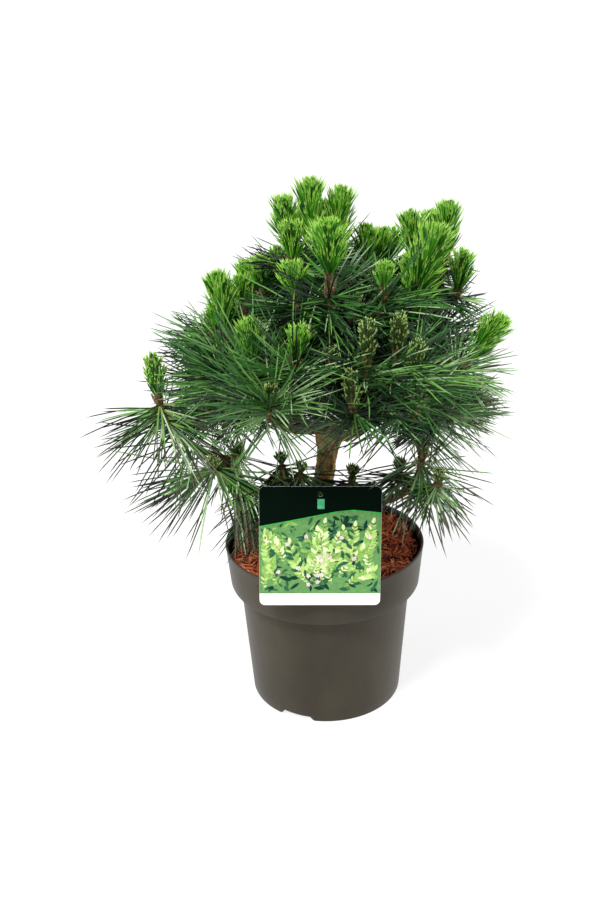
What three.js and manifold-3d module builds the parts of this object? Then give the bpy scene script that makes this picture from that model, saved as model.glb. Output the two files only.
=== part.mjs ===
// A dwarf Japanese black pine in its nursery pot, with bark mulch and a picture label.
// Millimetres, +Z up. The origin is the middle of the pot's flat underside, and -Y is the front.

import * as THREE from "three";
import { mergeVertices } from "three/addons/utils/BufferGeometryUtils.js";
import Module from "manifold-3d";

const wasm = await Module();
wasm.setup();

// Clearance between two pieces that touch on the real plant
const GAP = 0.3;

// Nursery pot: a tapered body under a wider collar, with notches moulded into the edge of its thick foot
const POT = {
  height: 160,
  rimRadius: 95,
  collarHeight: 41,
  collarFootRadius: 91,
  shoulderRadius: 82,
  baseRadius: 73,
  wall: 2.2,
  floor: 8,
  edge: 1.2,
  sides: 48,
};
const NOTCH = { count: 3, firstBearing: 245, width: 30, slope: 5, height: 5.5, depth: 6, below: 1 };

// Growing medium: fills the pot to just under the rim, lumpy mulch on top but flat under the trunk
const MEDIUM = { top: 147, lump: 1.6, flatRadius: 22, rings: 3, sides: 30, seed: 77 };

// Picture label: a plastic card that leans back on the rim, held by a tongue pushed down inside the pot
const LABEL = {
  width: 107,
  height: 110,
  thickness: 1,
  cornerRadius: 5,
  cornerSteps: 4,
  holeRadius: 2.6,
  holeDrop: 7,
  centreX: -7,
  foot: 145.7,
  footY: -98.3,
  lean: 9,
  turn: -1.4,
};
const TONGUE = { width: 26, thickness: 1, bend: 165, end: 130, fromWall: 3.4, sunk: 0.2 };
const SLOT = { grown: 0.4, opened: 8 };

// Trunk: leans a little to the right, swells at the fork and flares at the ground
const TRUNK = {
  foot: MEDIUM.top + GAP,
  top: 300,
  footX: -4,
  lean: 17,
  leanPower: 1.8,
  sway: 2,
  radius: 9.2,
  tipRadius: 4.6,
  flareRadius: 6,
  flareHeight: 12,
  lobes: 5,
  lobeShare: 0.25,
  forkHeight: 272,
  forkSwell: 5,
  forkSpread: 15,
  sides: 10,
  steps: 12,
};

// Boughs, shoots and needles. A shoot is a twig of last year's wood with this year's candle on its end
const BOUGH = {
  trunkRadius: 5.2,
  boughRadius: 4.2,
  tipRadius: 3.2,
  stem: 12,
  kneeOut: 0.8,
  kneeUp: 0.3,
  sides: 6,
  steps: 4,
};
const SHOOT = {
  twigLength: 46,
  twigRadius: 2.7,
  kneeOut: 0.85,
  kneeUp: 0.35,
  bareShare: 0.3,
  twigBands: 7,
  candleRadius: 5.4,
  slimShare: 0.3,
  candleBands: 3,
  sides: 4,
  splay: 0.35,
  lean: 0.08,
  sideLean: 0.15,
};
const OLD_NEEDLE = {
  length: 64,
  open: 100,
  close: 62,
  steep: 0.15,
  chance: 0.9,
  kept: 20,
  shares: [1, 0.75, 0.5, 0.35],
};
const NEW_NEEDLE = { length: 17, open: 34, close: 20, steep: 0.15, chance: 0.6, kept: 6, shares: [1] };
const HANG = { least: 0.1, most: 0.8, below: 330, over: 80 };
const SPACE = { margin: 1, needleRadius: 2, samples: 9, slack: 1, betweenShoots: 17 };

// One entry for each bough and the mass of foliage at its end. "from" is a height on the trunk, or a share
// of the way along another bough. The leading shoot's tip is "reach" out at "bearing" and "top" high. Its
// new growth is "candle" long. "lean" and "splay" are how far its candle and twig go out for each unit up.
// Side shoots are listed, each with its bearing from the leader, how far its tip is aside and below, and its
// candle. Or "shoots" of them are set round by the draws, the first at "turn", "spread" aside, "drop" below.
// "needle" is the length of a mass's old needles where it isn't the usual one.
const CROWN = [
  {
    name: "crest", on: "trunk", from: 300, bearing: 112, reach: 22, top: 499, candle: 62,
    sides: [[213, 28, 12, 54], [10, 30, 9, 60], [249, 48, 27, 40], [73, 42, 27, 42]], needle: 50,
  },
  {
    name: "crest_front", on: "trunk", from: 286, bearing: 275, reach: 70, top: 483, candle: 62,
    sides: [[154, 35, 37, 36], [31, 24, 69, 20]], needle: 56,
  },
  {
    name: "right_crest", on: "trunk", from: 292, bearing: 8, reach: 114, top: 477, candle: 54,
    sides: [[163, 35, 10, 50], [307, 19, 39, 42], [113, 33, 14, 44]], needle: 36,
  },
  {
    name: "right_upper", on: "right_crest", from: 0.4, bearing: 347, reach: 104, top: 465, candle: 92,
    sides: [[149, 27, 26, 32]], lean: 0.35, needle: 42,
  },
  {
    name: "middle_back", on: "crest", from: 0.25, bearing: 43, reach: 59, top: 453, candle: 40,
    sides: [[52, 25, 8, 36], [104, 46, 45, 34]], needle: 44,
  },
  {
    name: "middle_front", on: "crest_front", from: 0.35, bearing: 324, reach: 67, top: 439, candle: 28,
    sides: [[147, 35, 27, 20]],
  },
  {
    name: "left_crest", on: "trunk", from: 290, bearing: 164, reach: 54, top: 433, candle: 40,
    sides: [[229, 27, 12, 34], [55, 26, -3, 30], [114, 38, 13, 34]], needle: 42,
  },
  {
    name: "left_upper", on: "left_crest", from: 0.35, bearing: 195, reach: 92, top: 430, candle: 60,
    sides: [[79, 50, 31, 34], [106, 30, 43, 26]],
  },
  {
    name: "front_left", on: "trunk", from: 276, bearing: 233, reach: 101, top: 406, candle: 44,
    sides: [[336, 46, 1, 35], [295, 41, 46, 12], [139, 32, 32, 18]],
  },
  {
    name: "front", on: "trunk", from: 270, bearing: 288, reach: 114, top: 409, candle: 36,
    sides: [[226, 22, 37, 34], [148, 35, 29, 16]],
  },
  {
    name: "front_right", on: "front", from: 0.4, bearing: 306, reach: 106, top: 406, candle: 32,
    sides: [[327, 17, 21, 26], [317, 21, 58, 22]],
  },
  {
    name: "right", on: "trunk", from: 274, bearing: 349, reach: 160, top: 387, candle: 60,
    sides: [[212, 61, 65, 14], [138, 59, 43, 20]], lean: 0.75, splay: 1.5, needle: 60,
  },
  {
    name: "low_left", on: "trunk", from: 190, bearing: 191, reach: 151, top: 357, candle: 44,
    sides: [[343, 52, 94, 10], [12, 72, 92, 12]], twig: 78, splay: 0.9, needle: 76,
  },
  {
    name: "low_right", on: "trunk", from: 200, bearing: 324, reach: 107, top: 291, candle: 20,
    sides: [[305, 22, 28, 10], [130, 29, 34, 10]], twig: 34, needle: 76,
  },
  {
    name: "low_front_left", on: "low_left", from: 0.3, bearing: 218, reach: 49, top: 260, candle: 9,
    sides: [[325, 22, 4, 8]], twig: 24, needle: 34,
  },
  {
    name: "low_front_right", on: "low_right", from: 0.25, bearing: 311, reach: 40, top: 246, candle: 9,
    sides: [], twig: 22, needle: 30,
  },
  {
    name: "back_left", on: "trunk", from: 280, bearing: 128, reach: 98, top: 414, candle: 34,
    shoots: 3, turn: 90, spread: 34, drop: 22, needle: 50,
  },
  {
    name: "back", on: "trunk", from: 274, bearing: 88, reach: 104, top: 440, candle: 38,
    shoots: 3, turn: 60, spread: 36, drop: 22,
  },
  {
    name: "back_right", on: "trunk", from: 282, bearing: 50, reach: 106, top: 440, candle: 38,
    shoots: 3, turn: 10, spread: 36, drop: 22, needle: 50,
  },
  {
    name: "low_back_left", on: "trunk", from: 270, bearing: 142, reach: 124, top: 354, candle: 34,
    shoots: 3, turn: 130, spread: 34, drop: 24,
  },
  {
    name: "low_back", on: "trunk", from: 266, bearing: 98, reach: 150, top: 362, candle: 36,
    shoots: 3, turn: 70, spread: 34, drop: 24,
  },
  {
    name: "low_back_right", on: "trunk", from: 273, bearing: 30, reach: 124, top: 380, candle: 36,
    shoots: 3, turn: 40, spread: 34, drop: 24,
  },
];

// Colours and roughness
const FINISH = {
  pot: [0x5b544c, 0.6],
  medium: [0x6b2f1c, 1],
  label: [0x1d3a2a, 0.4],
  trunk: [0x6b4a33, 0.95],
  bough: [0x5f4431, 0.95],
  foliage: [0x2f5a25, 0.8],
};

const vec = (x, y, z) => new THREE.Vector3(x, y, z);
const UP = vec(0, 0, 1);
const rad = THREE.MathUtils.degToRad;
const mix = THREE.MathUtils.lerp;
const limited = (value) => THREE.MathUtils.clamp(value, 0, 1);
const compass = (bearing) => vec(Math.cos(rad(bearing)), Math.sin(rad(bearing)), 0);

// A seeded run of numbers from 0 to 1, the same each time
function seeded(seed) {
  let state = (seed * 2654435761) % 4294967296;
  return () => {
    state = (state * 1664525 + 1013904223) % 4294967296;
    return state / 4294967296;
  };
}

// The geometry's corners with only their places, each place once
function merged(geometry) {
  const bare = geometry.clone();
  bare.deleteAttribute("normal");
  bare.deleteAttribute("uv");
  return mergeVertices(bare, 1e-4);
}

// A closed three.js geometry as a solid, for joining and cutting, without the flat faces on a lathe's axis
function solid(geometry) {
  const { attributes, index } = merged(geometry);
  const whole = [];
  for (let i = 0; i < index.count; i += 3) {
    const [a, b, c] = [index.getX(i), index.getX(i + 1), index.getX(i + 2)];
    if (a !== b && b !== c && a !== c) whole.push(a, b, c);
  }
  const mesh = new wasm.Mesh({
    numProp: 3,
    vertProperties: attributes.position.array,
    triVerts: new Uint32Array(whole),
  });
  return new wasm.Manifold(mesh);
}

// A solid as a named mesh with its own material, without the loose scraps that cutting leaves
function piece(name, made, [color, roughness]) {
  const [largest] = made.decompose().sort((a, b) => b.volume() - a.volume());
  const { vertProperties, triVerts } = largest.getMesh();
  const geometry = new THREE.BufferGeometry();
  geometry.setAttribute("position", new THREE.BufferAttribute(vertProperties, 3));
  geometry.setIndex(new THREE.BufferAttribute(triVerts, 1));
  geometry.computeVertexNormals();
  const material = new THREE.MeshStandardMaterial({ color, roughness, metalness: 0, flatShading: true });
  const mesh = new THREE.Mesh(geometry, material);
  mesh.name = name;
  return mesh;
}

// A LatheGeometry turns about Y, so it is laid over to turn about Z
function lathed(profile, sides) {
  const points = profile.map(([radius, height]) => new THREE.Vector2(radius, height));
  return new THREE.LatheGeometry(points, sides).rotateX(Math.PI / 2);
}

// A closed tapering round. ring(t, angle) gives the middle, two axes and radius of the ring at share t
function tapered(sides, steps, ring) {
  const geometry = new THREE.CylinderGeometry(1, 1, 1, sides, steps);
  const at = geometry.attributes.position;
  for (let i = 0; i < at.count; i++) {
    const [x, y, z] = [at.getX(i), at.getY(i), at.getZ(i)];
    const { middle, across, beside, radius } = ring(y + 0.5, Math.atan2(z, x));
    const place = middle.clone().addScaledVector(across, x * radius).addScaledVector(beside, z * radius);
    at.setXYZ(i, place.x, place.y, place.z);
  }
  return solid(geometry);
}

// A limb along a curve that lies in one plane, with the radius given at each share of its length
function limb(curve, sides, steps, radiusAt) {
  const across = curve.getTangent(0).cross(curve.getTangent(1)).normalize();
  return tapered(sides, steps, (t) => {
    const beside = across.clone().cross(curve.getTangent(t));
    return { middle: curve.getPoint(t), across, beside, radius: radiusAt(t) };
  });
}

// Pot
function makePot() {
  const { height, rimRadius, collarHeight, collarFootRadius, shoulderRadius, baseRadius } = POT;
  const { wall, floor, edge, sides } = POT;
  const shelf = height - collarHeight;
  const profile = [
    [0, 0],
    [baseRadius - edge, 0],
    [baseRadius, edge],
    [shoulderRadius, shelf],
    [collarFootRadius - edge, shelf],
    [collarFootRadius, shelf + edge],
    [rimRadius, height - edge / 2],
    [rimRadius - edge / 2, height],
    [rimRadius - wall, height],
    [collarFootRadius - wall, shelf + wall],
    [shoulderRadius - wall, shelf + wall],
    [baseRadius - wall, floor],
    [0, floor],
  ];
  let pot = solid(lathed(profile, sides));
  for (let i = 0; i < NOTCH.count; i++) {
    pot = pot.subtract(notchCutter(NOTCH.firstBearing + (i * 360) / NOTCH.count));
  }
  return pot;
}

// A notch with slanted sides across the edge of the foot
function notchCutter(bearing) {
  const { width, slope, height, depth, below } = NOTCH;
  const [wide, narrow] = [(width + slope) / 2, (width - slope) / 2];
  const outline = new THREE.Shape([
    new THREE.Vector2(-wide, -below),
    new THREE.Vector2(wide, -below),
    new THREE.Vector2(narrow, height),
    new THREE.Vector2(-narrow, height),
  ]);
  const cutter = new THREE.ExtrudeGeometry(outline, { depth: depth * 2, bevelEnabled: false });
  cutter.rotateX(Math.PI / 2).translate(0, -POT.baseRadius + depth, 0).rotateZ(rad(bearing + 90));
  return solid(cutter);
}

// Growing medium: the pot's inside made smaller by the gap, with seeded lumps on top
function makeMedium() {
  const { top, lump, flatRadius, rings, sides, seed } = MEDIUM;
  const { height, collarHeight, rimRadius, collarFootRadius } = POT;
  const { shoulderRadius, baseRadius, wall, floor } = POT;
  const shelf = height - collarHeight + wall + GAP;
  const inset = wall + GAP * 2;
  const brim = mix(collarFootRadius, rimRadius, (top - lump - shelf) / (height - shelf)) - inset;
  const profile = [
    [0, floor + GAP],
    [baseRadius - inset, floor + GAP],
    [shoulderRadius - inset, shelf],
    [collarFootRadius - inset, shelf],
    [brim, top - lump],
  ];
  for (let i = 1; i <= rings; i++) profile.push([mix(brim, flatRadius, i / rings), top]);
  profile.push([0, top]);
  const geometry = merged(lathed(profile, sides));
  const at = geometry.attributes.position;
  const draw = seeded(seed);
  for (let i = 0; i < at.count; i++) {
    const onTop = at.getZ(i) > top - lump / 2;
    const aside = Math.hypot(at.getX(i), at.getY(i)) > flatRadius + 1;
    if (onTop && aside) at.setZ(i, top + (draw() * 2 - 1) * lump);
  }
  return solid(geometry).subtract(tongue(SLOT.grown, SLOT.opened));
}

// Picture label: the card, and the tongue that holds it
function makeLabel() {
  const { width, height, thickness, cornerRadius: r, cornerSteps, holeRadius, holeDrop } = LABEL;
  const side = width / 2;
  const outline = new THREE.Shape();
  outline.moveTo(-side + r, 0);
  outline.lineTo(side - r, 0).absarc(side - r, r, r, -Math.PI / 2, 0);
  outline.lineTo(side, height - r).absarc(side - r, height - r, r, 0, Math.PI / 2);
  outline.lineTo(-side + r, height).absarc(-side + r, height - r, r, Math.PI / 2, Math.PI);
  outline.lineTo(-side, r).absarc(-side + r, r, r, Math.PI, Math.PI * 1.5);
  outline.holes.push(new THREE.Path().absarc(0, height - holeDrop, holeRadius, 0, Math.PI * 2, true));
  const shape = { depth: thickness, bevelEnabled: false, curveSegments: cornerSteps };
  const card = new THREE.ExtrudeGeometry(outline, shape).rotateX(Math.PI / 2);
  card.rotateY(rad(-LABEL.turn)).rotateX(rad(-LABEL.lean));
  card.translate(LABEL.centreX, LABEL.footY, LABEL.foot);
  return solid(card).add(tongue(0, 0));
}

// The tongue bends from the back of the card over the rim and down inside the pot's wall. Grown, and opened
// towards the wall, it is its own slot in the medium
function tongue(grown, opened) {
  const { width, thickness, bend, end, fromWall, sunk } = TONGUE;
  const cardBack = LABEL.footY + (bend - LABEL.foot) * Math.tan(rad(LABEL.lean));
  const slant = (POT.rimRadius - POT.collarFootRadius) / POT.collarHeight;
  const insideTop = -POT.rimRadius + POT.wall + fromWall;
  const insideEnd = insideTop + (POT.height - end) * slant;
  const outline = new THREE.Shape([
    new THREE.Vector2(cardBack - sunk, bend - thickness),
    new THREE.Vector2(insideTop - opened, bend - thickness),
    new THREE.Vector2(insideEnd - opened, end - grown),
    new THREE.Vector2(insideEnd + thickness + grown, end - grown),
    new THREE.Vector2(insideTop + thickness + grown, bend),
    new THREE.Vector2(cardBack, bend),
  ]);
  const across = width + 2 * grown;
  const strip = new THREE.ExtrudeGeometry(outline, { depth: across, bevelEnabled: false });
  strip.rotateX(Math.PI / 2).rotateZ(Math.PI / 2).translate(LABEL.centreX - across / 2, 0, 0);
  return solid(strip);
}

// Trunk
function trunkAxis(height) {
  const { foot, top, footX, lean, leanPower, sway } = TRUNK;
  const t = Math.max((height - foot) / (top - foot), 0);
  return vec(footX + lean * t ** leanPower, sway * Math.sin(3 * t), height);
}

function trunkRadius(height, angle) {
  const { foot, top, radius, tipRadius, flareRadius, flareHeight, lobes, lobeShare } = TRUNK;
  const { forkHeight, forkSwell, forkSpread } = TRUNK;
  const taper = mix(radius, tipRadius, limited((height - forkHeight) / (top - forkHeight)));
  const lobed = 1 + lobeShare * Math.cos(lobes * angle);
  const flare = flareRadius * lobed * Math.exp((foot - height) / flareHeight);
  const fork = forkSwell * Math.exp(-(((height - forkHeight) / forkSpread) ** 2));
  return taper + flare + fork;
}

// The trunk, or the trunk grown by a gap on its sides and top, to cut the boughs with
function makeTrunk(grown) {
  return tapered(TRUNK.sides, TRUNK.steps, (t, angle) => {
    const middle = trunkAxis(mix(TRUNK.foot, TRUNK.top + grown, t));
    const radius = trunkRadius(middle.z, angle) + grown;
    return { middle, across: vec(1, 0, 0), beside: vec(0, -1, 0), radius };
  });
}

// The leading shoot of one mass, and the whorl under it where the bough ends and all the mass's twigs start
function leaderOf({ bearing, reach, top, candle, twig = SHOOT.twigLength, splay = SHOOT.splay, ...row }) {
  const out = compass(bearing);
  const lean = row.lean ?? SHOOT.lean;
  const tip = out.clone().multiplyScalar(reach).addScaledVector(UP, top);
  const base = tip.clone().addScaledVector(leaning(out, lean), -candle);
  return { tip, whorl: base.addScaledVector(leaning(out, splay), -twig) };
}

// The direction that goes "lean" out for each unit up
function leaning(out, lean) {
  return UP.clone().addScaledVector(out, lean).normalize();
}

// The curve of each bough, from the trunk or an earlier bough out to its whorl
function boughCurves() {
  const curves = new Map();
  for (const row of CROWN) {
    const root = row.on === "trunk" ? trunkAxis(row.from) : curves.get(row.on).getPoint(row.from);
    curves.set(row.name, bent(root, leaderOf(row).whorl, BOUGH.kneeOut, BOUGH.kneeUp));
  }
  return curves;
}

// A curve that first runs out and then turns up
function bent(start, end, out, up) {
  const knee = vec(mix(start.x, end.x, out), mix(start.y, end.y, out), mix(start.z, end.z, up));
  return new THREE.QuadraticBezierCurve3(start, knee, end);
}

// The first part of a whorl's curve is the bough, and the rest is the stem of its mass
function boughPart(curve) {
  const share = 1 - Math.min(0.5, BOUGH.stem / curve.getLength());
  const [start, end] = [curve.getPoint(0), curve.getPoint(share)];
  const half = start.distanceTo(end) / 2;
  const knee = start.clone().addScaledVector(curve.getTangent(0), half);
  knee.lerp(end.clone().addScaledVector(curve.getTangent(share), -half), 0.5);
  return new THREE.QuadraticBezierCurve3(start, knee, end);
}

function stemPart(curve) {
  const bough = boughPart(curve);
  const along = bough.getTangent(1);
  const start = bough.getPoint(1).addScaledVector(along, GAP);
  const knee = start.clone().addScaledVector(along, BOUGH.stem / 2);
  return new THREE.QuadraticBezierCurve3(start, knee, curve.getPoint(1));
}

function boughRadius(on, t) {
  return mix(on === "trunk" ? BOUGH.trunkRadius : BOUGH.boughRadius, BOUGH.tipRadius, t);
}

// Each bough, cut clear of the trunk and of the boughs before it
function makeBoughs(curves) {
  const before = [makeTrunk(GAP)];
  return CROWN.map(({ name, on }) => {
    const curve = boughPart(curves.get(name));
    const grownBy = (grown) => limb(curve, BOUGH.sides, BOUGH.steps, (t) => boughRadius(on, t) + grown);
    const cut = before.reduce((bough, other) => bough.subtract(other), grownBy(0));
    before.push(grownBy(GAP));
    return piece(`bough_${name}`, cut, FINISH.bough);
  });
}

// Points along each bough, for keeping the foliage clear of it
function boughPoints(curves) {
  const steps = 25;
  return CROWN.flatMap(({ name, on }) => {
    const curve = boughPart(curves.get(name));
    return Array.from({ length: steps + 1 }, (_, i) => {
      return { name, at: curve.getPoint(i / steps), radius: boughRadius(on, i / steps) };
    });
  });
}

// The side shoots of one mass, as listed or as drawn. Those on its outer side are set closer and lower
function sidesOf(row, draw) {
  if (row.sides) return row.sides;
  return Array.from({ length: row.shoots }, (_, i) => {
    const bearing = row.turn + (i * 360) / row.shoots + mix(-15, 15, draw());
    const outward = Math.max(compass(bearing).dot(compass(row.bearing)), 0);
    const aside = row.spread * mix(0.85, 1.15, draw()) * (1 - outward / 2);
    const below = row.drop * mix(0.6, 1.4, draw()) * (1 + outward);
    return [bearing, aside, below, row.candle * mix(0.75, 1.05, draw())];
  });
}

// The shoots of one mass: the leader, then its side shoots, each with a twig and a candle
function shootsOf(row, draw) {
  const leader = leaderOf(row);
  const shoot = (tip, axis, length) => {
    const base = tip.clone().addScaledVector(axis, -length);
    const twig = bent(leader.whorl, base, SHOOT.kneeOut, SHOOT.kneeUp);
    return { twig, base, tip, axis, needle: row.needle ?? OLD_NEEDLE.length };
  };
  const first = shoot(leader.tip, leaning(compass(row.bearing), row.lean ?? SHOOT.lean), row.candle);
  const others = sidesOf(row, draw).map(([bearing, aside, below, length]) => {
    const side = compass(bearing);
    const tip = leader.tip.clone().addScaledVector(side, aside).addScaledVector(UP, -below);
    return shoot(tip, leaning(side, SHOOT.sideLean), length);
  });
  return [first, ...others];
}

// Every mass's shoots, without those that come too near to one before them
function allShoots() {
  const bases = [];
  return CROWN.map((row, i) => {
    return shootsOf(row, seeded(i + 1)).filter(({ base }) => {
      const room = bases.every((other) => other.distanceTo(base) > SPACE.betweenShoots);
      if (room) bases.push(base);
      return room;
    });
  });
}

// The points that hold a shoot's space open, along its twig and its candle
function placesOf(shoot) {
  const { twig, base, tip } = shoot;
  const along = [twig.getPoint(0.35), twig.getPoint(0.7), base, base.clone().lerp(tip, 0.5), tip];
  return along.map((at) => ({ shoot, at }));
}

// A shoot's space is every point nearer to one of its own places than to any other shoot's, less a margin
function hasRoom(places, shoot, point, clear) {
  const distance = (place) => place.at.distanceToSquared(point);
  const own = places.filter((place) => place.shoot === shoot);
  const nearest = own.reduce((a, b) => (distance(a) < distance(b) ? a : b));
  return places.every((other) => {
    const past = distance(other) - distance(nearest);
    return other.shoot === shoot || past > 2 * clear * other.at.distanceTo(nearest.at);
  });
}

// True where a point is clear of the pot, the medium and the label
function clearOfPot(point, clear) {
  const out = Math.hypot(point.x, point.y);
  const overRim = point.z > POT.height + clear || out > POT.rimRadius + clear;
  const insideRim = out < POT.rimRadius - POT.wall - clear && point.z > MEDIUM.top + MEDIUM.lump + clear;
  if (!overRim && !insideRim) return false;
  const lift = point.z - LABEL.foot;
  const apart = point.y - LABEL.footY - lift * Math.tan(rad(LABEL.lean));
  const beside = Math.abs(point.x - LABEL.centreX) > LABEL.width / 2 + SPACE.slack + clear;
  const over = lift > LABEL.height + SPACE.slack + clear;
  return beside || over || Math.abs(apart) > 2 * LABEL.thickness + clear;
}

// True where a point is clear of the trunk and of the boughs whose points are given
function clearOfLimbs(boughs, point, clear) {
  const height = Math.min(point.z, TRUNK.top);
  const fromTrunk = trunkAxis(height).distanceTo(point) - trunkRadius(height, 0);
  if (fromTrunk < SPACE.slack + clear) return false;
  return boughs.every(({ at, radius }) => at.distanceTo(point) > radius + SPACE.slack + clear);
}

// The rings of corners up a shoot, each with the kind of needle that the band above it bears
function ringsOf({ twig, base, tip }) {
  const { twigRadius, bareShare, twigBands, candleRadius, slimShare, candleBands } = SHOOT;
  const rings = [{ middle: twig.getPoint(0), radius: twigRadius, share: 0 }];
  for (let i = 0; i < twigBands; i++) {
    const share = mix(bareShare, 1, i / twigBands);
    rings.push({ middle: twig.getPoint(share), radius: twigRadius, share, kind: OLD_NEEDLE });
  }
  const thick = Math.min(candleRadius, base.distanceTo(tip) * slimShare);
  for (let i = 0; i < candleBands; i++) {
    const share = i / candleBands;
    const radius = thick * Math.sin(Math.PI * mix(0.2, 0.75, share));
    const kind = i > 0 ? NEW_NEEDLE : undefined;
    rings.push({ middle: base.clone().lerp(tip, share), radius, share, kind });
  }
  return rings;
}

// A shoot as one closed surface: bands of faces round its twig and candle, each turned by half a face.
// A needle is a face whose middle is drawn out to the needle's tip, so it is rooted all over in the wood.
// needleTip(face, ring) gives that tip, or null.
function shootSurface(shoot, needleTip) {
  const { sides } = SHOOT;
  const rings = ringsOf(shoot);
  const across = shoot.twig.getTangent(0).cross(shoot.axis).normalize();
  const corners = rings.map(({ middle, radius }, i) => {
    const ahead = rings[i + 1]?.middle ?? shoot.tip;
    const along = ahead.clone().sub(rings[i - 1]?.middle ?? middle).normalize();
    const beside = along.cross(across).normalize();
    return Array.from({ length: sides }, (_, k) => {
      const angle = ((k + (i % 2) / 2) / sides) * 2 * Math.PI;
      const place = middle.clone().addScaledVector(across, radius * Math.cos(angle));
      return place.addScaledVector(beside, radius * Math.sin(angle));
    });
  });
  const faces = [];
  const addFace = (a, b, c, ring) => {
    const middle = a.clone().add(b).add(c).divideScalar(3);
    const outward = b.clone().sub(a).cross(c.clone().sub(a)).normalize();
    const tip = ring?.kind ? needleTip({ middle, outward }, ring) : null;
    if (tip) faces.push(a, b, tip, b, c, tip, c, a, tip);
    else faces.push(a, b, c);
  };
  for (let k = 0; k < sides; k++) addFace(corners[0][(k + 1) % sides], corners[0][k], rings[0].middle);
  for (let i = 0; i + 1 < rings.length; i++) {
    const [low, high, turned] = [corners[i], corners[i + 1], i % 2];
    for (let k = 0; k < sides; k++) {
      const next = (k + 1) % sides;
      addFace(low[k], low[next], high[turned ? next : k], rings[i]);
      addFace(high[k], low[turned ? k : next], high[next], rings[i]);
    }
  }
  const last = corners[corners.length - 1];
  for (let k = 0; k < sides; k++) addFace(last[k], last[(k + 1) % sides], shoot.tip);
  return solid(new THREE.BufferGeometry().setFromPoints(faces));
}

// The rule for needles. Old ones are long and stand out, and hang more low on the plant. New ones are short
// and held close to the candle. Each tries its full length, then shorter ones, and is skipped without room.
function needleRule(shoot, fits, draw) {
  const kept = new Map([[OLD_NEEDLE, 0], [NEW_NEEDLE, 0]]);
  return ({ middle, outward }, { share, kind }) => {
    const [chance, turn, scale] = [draw(), mix(-10, 10, draw()), mix(0.85, 1.12, draw())];
    if (chance > kind.chance || kept.get(kind) >= kind.kept) return null;
    const open = rad(mix(kind.open, kind.close, share) + turn);
    const side = outward.clone().addScaledVector(shoot.axis, -outward.dot(shoot.axis)).normalize();
    const direction = side.multiplyScalar(Math.sin(open)).addScaledVector(shoot.axis, Math.cos(open));
    if (kind === OLD_NEEDLE) {
      const low = limited((HANG.below - middle.z) / HANG.over);
      direction.addScaledVector(UP, -mix(HANG.least, HANG.most, low));
    }
    direction.normalize();
    const longest = kind === OLD_NEEDLE ? shoot.needle : kind.length;
    const lengths = kind.shares.map((part) => part * scale * longest);
    const length = lengths.find((tried) => fits(middle, direction, tried));
    if (!length || direction.dot(outward) < kind.steep) return null;
    kept.set(kind, kept.get(kind) + 1);
    return middle.clone().addScaledVector(direction, length);
  };
}

// One mass: its stem, and each shoot whose twig and candle have room
function makeMass({ name }, index, curves, boughs, places, shoots) {
  const draw = seeded(index + 101);
  const others = boughs.filter((point) => point.name !== name);
  const stemRadius = (t) => mix(BOUGH.tipRadius, SHOOT.twigRadius, t);
  const parts = [limb(stemPart(curves.get(name)), BOUGH.sides, 2, stemRadius)];
  for (const shoot of shoots) {
    const free = (point, clear, limbs) =>
      hasRoom(places, shoot, point, clear) && clearOfPot(point, clear) && clearOfLimbs(limbs, point, clear);
    const fits = (root, direction, length) => {
      for (let k = 2; k <= SPACE.samples; k++) {
        const share = k / SPACE.samples;
        const point = root.clone().addScaledVector(direction, length * share);
        if (!free(point, SPACE.needleRadius * (1 - share) + SPACE.margin, boughs)) return false;
      }
      return true;
    };
    if (!placesOf(shoot).every(({ at }) => free(at, SHOOT.twigRadius + GAP, others))) continue;
    parts.push(shootSurface(shoot, needleRule(shoot, fits, draw)));
  }
  return piece(`foliage_${name}`, parts.reduce((mass, part) => mass.add(part)), FINISH.foliage);
}

function makeMasses(curves) {
  const boughs = boughPoints(curves);
  const shoots = allShoots();
  const places = shoots.flat().flatMap(placesOf);
  return CROWN.map((row, i) => makeMass(row, i, curves, boughs, places, shoots[i]));
}

const curves = boughCurves();
const pine = new THREE.Group();
pine.add(piece("pot", makePot(), FINISH.pot));
pine.add(piece("growing_medium", makeMedium(), FINISH.medium));
pine.add(piece("plant_label", makeLabel(), FINISH.label));
pine.add(piece("trunk", makeTrunk(0), FINISH.trunk));
pine.add(...makeBoughs(curves));
pine.add(...makeMasses(curves));

export default pine;
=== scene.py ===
import math

import bpy
import numpy as np
from mathutils import Matrix, Vector, noise


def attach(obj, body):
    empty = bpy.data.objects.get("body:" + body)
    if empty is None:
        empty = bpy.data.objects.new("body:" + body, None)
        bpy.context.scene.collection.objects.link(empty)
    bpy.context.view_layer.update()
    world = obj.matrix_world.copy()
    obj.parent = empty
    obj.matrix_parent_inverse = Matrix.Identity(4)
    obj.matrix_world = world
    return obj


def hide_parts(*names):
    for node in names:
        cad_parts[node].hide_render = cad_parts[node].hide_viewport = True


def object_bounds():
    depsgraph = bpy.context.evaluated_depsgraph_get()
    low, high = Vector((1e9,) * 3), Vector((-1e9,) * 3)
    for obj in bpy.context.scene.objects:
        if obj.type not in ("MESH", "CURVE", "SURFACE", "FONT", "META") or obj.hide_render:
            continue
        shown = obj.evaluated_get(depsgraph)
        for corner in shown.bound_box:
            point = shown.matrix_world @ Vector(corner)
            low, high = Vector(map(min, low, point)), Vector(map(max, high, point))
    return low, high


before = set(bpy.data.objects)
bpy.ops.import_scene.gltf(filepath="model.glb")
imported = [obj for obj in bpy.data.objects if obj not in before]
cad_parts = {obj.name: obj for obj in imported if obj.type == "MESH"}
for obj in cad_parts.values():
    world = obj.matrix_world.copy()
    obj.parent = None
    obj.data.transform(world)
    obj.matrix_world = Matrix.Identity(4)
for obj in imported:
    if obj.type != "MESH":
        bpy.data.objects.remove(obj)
solid_box = [list(corner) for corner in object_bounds()]


# The floor is a plain pale sweep. The plant stands on it in soft daylight from above and a little from the
# left, with a softbox at each side. It is seen from a metre away and slightly from above.

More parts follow.
